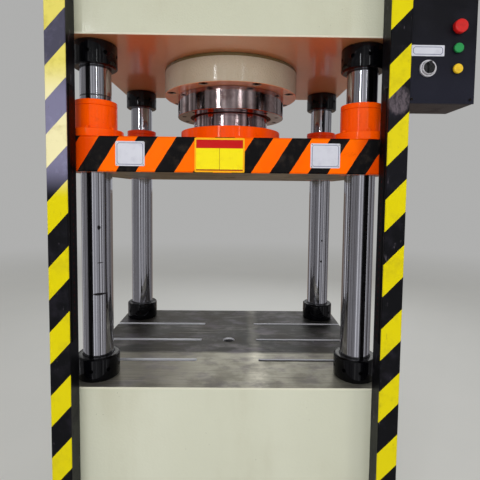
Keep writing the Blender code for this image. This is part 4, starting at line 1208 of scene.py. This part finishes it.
# %% Light curtains
SENSOR_PITCH = 0.020
smoked_look = {"Coat_Weight": 0.03, "Coat_Roughness": 0.3, "Specular_IOR_Level": 0.1}
smoked_lens = Finish("smoked_lens", Roughness=0.5, **smoked_look)
sensor_row = (smoked_lens.z / SENSOR_PITCH).math("FRACT") - 0.5
across_bar = smoked_lens.y - (left_low.y + left_high.y) / 2
reach = (sensor_row * SENSOR_PITCH).math("POWER", 2.0) + across_bar.math("POWER", 2.0)
dot = 1 - smoked_lens.smooth_step(reach, 0.000006, 0.000022)
dim = smoked_lens.patches(0.4, 0.7, 12)
layers = (dim * 0.5, tone(14, 12, 13)), (dot * 0.5, tone(84, 10, 12))
smoked_lens.set("Base Color", smoked_lens.layered(tone(6, 6, 7), *layers))
dress(["light_curtain_left", "light_curtain_right"], smoked_lens)

# %% [markdown]
# The control box hangs on the right post. It is folded sheet with a flat
# cover, sprayed dark grey with a fine texture, and it looks a little bluer
# low down. Its controls are moulded plastic.

# %% Control box and plastics
BLUER_FROM, BLUER_TO = 1.70, 1.95


def textured_grey(name, colour, worn_colour):
    finish = Finish(name, Coat_Weight=0.05, Specular_IOR_Level=0.2)
    worn = finish.patches(0.45, 0.74, 11, 6, 0.62)
    lower = 1 - finish.smooth_step(finish.z, BLUER_FROM, BLUER_TO)
    layers = (worn * 0.5, worn_colour), (lower * 0.5, tone(34, 35, 50))
    finish.paint(finish.layered(colour, *layers), 0.36 + worn * 0.16)
    finish.bump(finish.noise(500, 2), 0.0004)
    return finish


def plastic(name, colour, shade, roughness=0.30):
    """Moulded plastic, with a faint sheen of handling."""
    finish = Finish(name, Coat_Weight=0.2, Coat_Roughness=0.15)
    handled = finish.patches(0.42, 0.70, 90, 4)
    finish.paint(finish.blend(handled * 0.5, colour, shade), roughness + handled * 0.14)
    finish.bump(finish.noise(700, 2), 0.00015)
    return finish


box_grey = textured_grey("textured_grey_coat", tone(15, 15, 20), tone(30, 30, 38))
dress(["control_box", "control_box_cover"], box_grey)

# %% [markdown]
# The controls are turned pieces that point at the operator, so their sections
# are spun upright and then laid over towards the front. Three are pushed, and
# their stems pass through the cover.

# %% Push controls
CONTROL_STEPS = 48
STEM_RADIUS = 0.011
STEM_LENGTH = 0.024
PUSH_EASE = 0.0002
cover_low, cover_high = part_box("control_box_cover")


def control_axis(node):
    """Where a control stands on the cover."""
    low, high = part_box(node)
    return Vector(((low.x + high.x) / 2, cover_low.y, (low.z + high.z) / 2))


def laid_over(bm):
    """Turns an upright piece to point out of the cover."""
    quarter = Matrix.Rotation(math.tau / 4, 3, "X")
    bmesh.ops.rotate(bm, verts=bm.verts, cent=CENTRE, matrix=quarter)
    return bm


def headed_pin(head, lift, height, dome):
    """A stem through the cover and a head with a rounded rim."""
    return [
        (0, -STEM_LENGTH),
        (STEM_RADIUS, -STEM_LENGTH),
        (STEM_RADIUS, lift),
        (head, lift),
        (head, lift + height - dome),
        (head - dome * 0.3, lift + height - dome * 0.3),
        (head - dome, lift + height),
        (0, lift + height),
    ]


red = plastic("stop_red_plastic", tone(196, 22, 18), tone(160, 14, 12))
green = plastic("raise_green_plastic", tone(30, 138, 70), tone(20, 104, 52))
yellow = plastic("lower_yellow_plastic", tone(226, 186, 30), tone(190, 150, 20))
STOP_HEAD = {"head": 0.020, "lift": 0.0063, "height": 0.014, "dome": 0.004}
BUTTON_HEAD = {"head": 0.014, "lift": 0.0043, "height": 0.007, "dome": 0.002}
PUSH_PIECES = [
    ("emergency_stop", "stop_mushroom", STOP_HEAD, red, "stop_red"),
    ("raise_button", "raise_push", BUTTON_HEAD, green, "button_green"),
    ("lower_button", "lower_push", BUTTON_HEAD, yellow, "button_yellow"),
]
for node, name, head, finish, slot in PUSH_PIECES:
    bm = eased(laid_over(spun(headed_pin(**head), CONTROL_STEPS)), PUSH_EASE)
    placed(name, bm, finish, node, slot, node, control_axis(node))

# %% [markdown]
# The selector knob is a black cap with a grip bar across it and a bright
# skirt round its side. Both are one piece, so faces get the skirt's finish by
# where they stand. A bright bezel surrounds it.

# %% Selector knob
KNOB_RADIUS = 0.019
KNOB_HEIGHT = 0.0137
KNOB_DOME = 0.0015
SKIRT_INNER = 0.0165
SKIRT_TOP = 0.0145
GRIP_SIZE = (0.009, 0.034, 0.0107, 1)
GRIP_MIDDLE = 0.01765
GRIP_TOP_FROM = 0.02
BEZEL_RADIUS = 0.0245
BEZEL_HEIGHT = 0.008
BEZEL_GAP = 0.001
BEZEL_EASE = 0.001

black_plastic = plastic("knob_black_plastic", tone(18, 18, 20), tone(36, 35, 38), 0.20)
skirt_tones = (tone(226, 224, 230), tone(186, 180, 182))
bright_skirt = turned_bright_finish("bright_skirt", *skirt_tones, 0.22, metallic=0.5)
knob = spun(headed_pin(KNOB_RADIUS, SEAT, KNOB_HEIGHT, KNOB_DOME), CONTROL_STEPS)
eased(knob, 0.0004)
grip = Matrix.Translation((0, 0, GRIP_MIDDLE)) @ Matrix.Diagonal(GRIP_SIZE)
bmesh.ops.create_cube(knob, size=1, matrix=grip)
grip_corners = [v for v in knob.verts if v.co.z > GRIP_TOP_FROM]
bevelled(knob, list({e for v in grip_corners for e in v.link_edges}), 0.0012, 2)
for face in knob.faces:
    middle = face.calc_center_median()
    outside = math.hypot(middle.x, middle.y) > SKIRT_INNER
    face.material_index = int(outside and 0 < middle.z < SKIRT_TOP)
look = (black_plastic, "mode_knob", "black_plastic")
place = control_axis("mode_knob")
piece = placed("mode_knob_grip", laid_over(knob), *look, "mode_knob", place)
piece.data.materials.append(bright_skirt.material)
bezel = ring_section(KNOB_RADIUS + BEZEL_GAP, BEZEL_RADIUS, SEAT, BEZEL_HEIGHT)
bm = laid_over(eased(spun(bezel, CONTROL_STEPS), BEZEL_EASE))
look = (bright_skirt, "frame", "bright_steel")
placed("knob_rim", bm, *look, "knob_bezel", control_axis("knob_bezel"))

# %% [markdown]
# A white label with a ruled border sits over the knob, and four blackened
# screws hold the cover.

# %% Box label and screws
LABEL_SIDES = (0.5415, 0.6395, 1.823, 1.855)
LABEL_THICKNESS = 0.0008
LABEL_CORNER = 0.002
SCREW_INSET = 0.012
COVER_SCREW = (0.004, 0.003)

label_finish = ruled_white("box_label_enamel", *LABEL_SIDES)
bm = thin_sheet(*LABEL_SIDES, cover_low.y, LABEL_THICKNESS, LABEL_CORNER)
placed("box_label", bm, label_finish, "frame", "black_powder")
cover_sides = (cover_low.x, cover_high.x, cover_low.z, cover_high.z)
spots = near_corners(*cover_sides, cover_low.y, SCREW_INSET)
screws("cover_screws", spots, FORWARD, COVER_SCREW, dark_steel, "frame", "black_powder")

# %% [markdown]
# The ejector hangs under the table with its rod in the centre hole. It shows
# through the base windows, so it is turned round like the main cylinder.

# %% Ejector
EJECTOR_BORE = 0.045
EJECTOR_BODY = 0.065
EJECTOR_COLLAR = 0.100
EJECTOR_COLLAR_HEIGHT = 0.025
EJECTOR_FLOOR = 0.025
EJECTOR_ROD = 0.023
EJECTOR_SPIGOT = 0.015 - SEAT
EJECTOR_BOLTS = 8
EJECTOR_BOLT_CIRCLE = 0.083
EJECTOR_BOLT = (0.009, 0.009)
EJECTOR_EASE = 0.002
GUIDE_EASE = 0.001

low, high = heights("ejector_cylinder")
collar = high - EJECTOR_COLLAR_HEIGHT
floor_height = low + EJECTOR_FLOOR
section = [
    (0, low),
    (EJECTOR_BODY, low),
    (EJECTOR_BODY, collar),
    (EJECTOR_COLLAR, collar),
    (EJECTOR_COLLAR, high),
    (EJECTOR_BORE, high),
    (EJECTOR_BORE, floor_height),
    (0, floor_height),
]
look = (beam_cream, "frame", "cream_paint")
turned("ejector_body", "ejector_cylinder", section, EJECTOR_EASE, *look)
spots = on_circle(CENTRE, EJECTOR_BOLT_CIRCLE, EJECTOR_BOLTS, collar)
screws("ejector_bolts", spots, DOWN, EJECTOR_BOLT, dark_steel, "frame", "cream_paint")
section = ring_section(EJECTOR_ROD + SEAT, EJECTOR_BORE - SEAT, *heights("ejector_gland"))
look = (polished, "frame", "bright_steel")
turned("ejector_guide", "ejector_gland", section, GUIDE_EASE, *look)
rod_low, rod_high = heights("ejector_rod")
shoulder = heights("ejector_piston")[1] + SEAT
section = stepped(0, rod_low, (EJECTOR_SPIGOT, shoulder), (EJECTOR_ROD, rod_high))
look = (polished, "ejector", "bright_steel")
turned("ejector_pin", "ejector_rod", section, EJECTOR_EASE, *look)

# %% [markdown]
# The floor is pale where the press stands. Far out it stops taking light and
# glows as the room does, so that no horizon shows.

# %% Floor
WALL_GLOW = (0.82, 0.82, 0.81, 1)
WALL_STRENGTH = 0.52
BLACK = (0, 0, 0, 1)
FLOOR_REACH = 14
NEAR_SQUARED, FAR_SQUARED = 5.0, 90.0

bm = bmesh.new()
bmesh.ops.create_grid(bm, x_segments=1, y_segments=1, size=FLOOR_REACH)
mesh = bpy.data.meshes.new("pale_floor")
bm.to_mesh(mesh)
bm.free()
floor = new_object("pale_floor", mesh)
floor.visible_glossy = False
pale = Finish("pale_floor_coat", Roughness=0.6, Specular_IOR_Level=0.0)
coat = pale.blend(pale.noise(1.5), tone(226, 226, 222), tone(232, 231, 227))
far = pale.smooth_step(pale.x * pale.x + pale.y * pale.y, NEAR_SQUARED, FAR_SQUARED)
pale.set("Base Color", pale.blend(far, coat, BLACK))
pale.set("Emission Color", pale.blend(far, BLACK, WALL_GLOW))
pale.set("Emission Strength", WALL_STRENGTH)
mesh.materials.append(pale.material)
print("floor of", 2 * FLOOR_REACH, "m")

# %% [markdown]
# Lamps. Three broad soft ones light the press from the front, the right and
# behind. They aren't mirrored, because a lamp's square in the chrome would
# look wrong. Two narrow strips are, and give the turned pieces their thin
# highlights.

# %% Lamps
WARM = (1, 0.98, 0.95)
COOL = (0.94, 0.97, 1)
STRIP_COOL = (0.96, 0.98, 1)
STRIP_AIM = (0, -0.3, 1.7)


def lamp(name, place, aim, size, power, colour=(1, 1, 1), mirrored=True):
    """A soft lamp of size width by height metres that shines from place towards aim."""
    light = bpy.data.lights.new(name, "AREA")
    light.shape = "RECTANGLE"
    light.size, light.size_y = size
    light.energy = power
    light.color = colour
    holder = new_object(name, light)
    turn = (Vector(aim) - Vector(place)).to_track_quat("-Z", "Y").to_matrix().to_4x4()
    holder.matrix_world = Matrix.Translation(place) @ turn
    holder.visible_camera = False
    holder.visible_glossy = mirrored
    print(name, power, "W")


lamp("key_lamp", (-0.4, -4.0, 1.8), (0, 0, 1.3), (2.2, 1.8), 68, mirrored=False)
lamp("side_lamp", (2.8, -2.6, 2.2), (0, 0, 1.4), (0.9, 2.4), 20, WARM, mirrored=False)
lamp("rear_lamp", (0.5, 3.4, 2.7), (0, 0, 1.0), (2.2, 1.2), 30, COOL, mirrored=False)
lamp("left_strip", (-1.9, -4.2, 2.75), STRIP_AIM, (0.07, 1.3), 14, STRIP_COOL)
lamp("right_strip", (1.5, -4.2, 2.75), STRIP_AIM, (0.06, 1.3), 3.5, STRIP_COOL)

# %% [markdown]
# The room. Chrome looks like chrome only when it has light and dark things to
# mirror, so the room's glow is plain for the camera but banded in
# reflections: upright bands all round, darker at the sides, a brown floor
# behind the press, an even ceiling, and a bright window high behind it.
# Angles are in radians from straight behind, and a rise is the angle's sine.

# %% Room
BAND_STOPS = [
    (0.34, (0.02, 0.02, 0.025, 1)),
    (0.43, (0.20, 0.185, 0.19, 1)),
    (0.50, (0.58, 0.58, 0.61, 1)),
    (0.57, (0.86, 0.87, 0.92, 1)),
    (0.64, (2.0, 2.0, 2.05, 1)),
]
SIDE_SHADE = (0.09, 0.075, 0.075, 1)
FRONT_LIGHT = (0.85, 0.85, 0.90, 1)
FLOOR_BROWN = (0.33, 0.24, 0.18, 1)
CEILING_GREY = (0.36, 0.36, 0.36, 1)
WINDOW_LIGHT = (3.4, 3.4, 3.3, 1)
WINDOW_ANGLE = 0.15

world = bpy.data.worlds.new("soft_room")
bpy.context.scene.world = world
world.use_nodes = True
room = Sheet(world.node_tree)
glow = room.tree.nodes["Background"]
direction = room.node("ShaderNodeTexCoord").outputs["Generated"]
east, north, rise = room.axes(direction)
angle = east.math("ARCTAN2", north)
values = {"W": angle, "Scale": 3.2, "Detail": 3.0, "Roughness": 0.65}
bands = room.node("ShaderNodeTexNoise", {"noise_dimensions": "1D"}, values).outputs[0]
banded = room.node("ShaderNodeValToRGB", {"stops": BAND_STOPS}, {0: bands}).outputs[0]
opposite = room.smooth_step(abs(angle), 2.3, 2.9)
beside = room.smooth_step(abs(angle), 0.9, 1.3) * (1 - opposite)
low_behind = (1 - room.smooth_step(abs(angle), 0.45, 0.95)) * (rise < 0)
window = room.smooth_step(rise, 0.29, 0.38) * (1 - room.smooth_step(rise, 0.60, 0.75))
window = window * (1 - room.smooth_step(abs(angle - WINDOW_ANGLE), 0.30, 0.75))
mirrored = room.layered(
    banded,
    (beside * 0.35, SIDE_SHADE),
    (opposite * 0.35, FRONT_LIGHT),
    (low_behind * 0.9, FLOOR_BROWN),
    (room.smooth_step(rise, 0.05, 0.75), CEILING_GREY),
    (window, WINDOW_LIGHT),
)
glossy = room.node("ShaderNodeLightPath").outputs["Is Glossy Ray"]
room.feed(glow.inputs["Color"], room.blend(glossy, WALL_GLOW, mirrored))
room.feed(glow.inputs["Strength"], WALL_STRENGTH)
print("room lit")
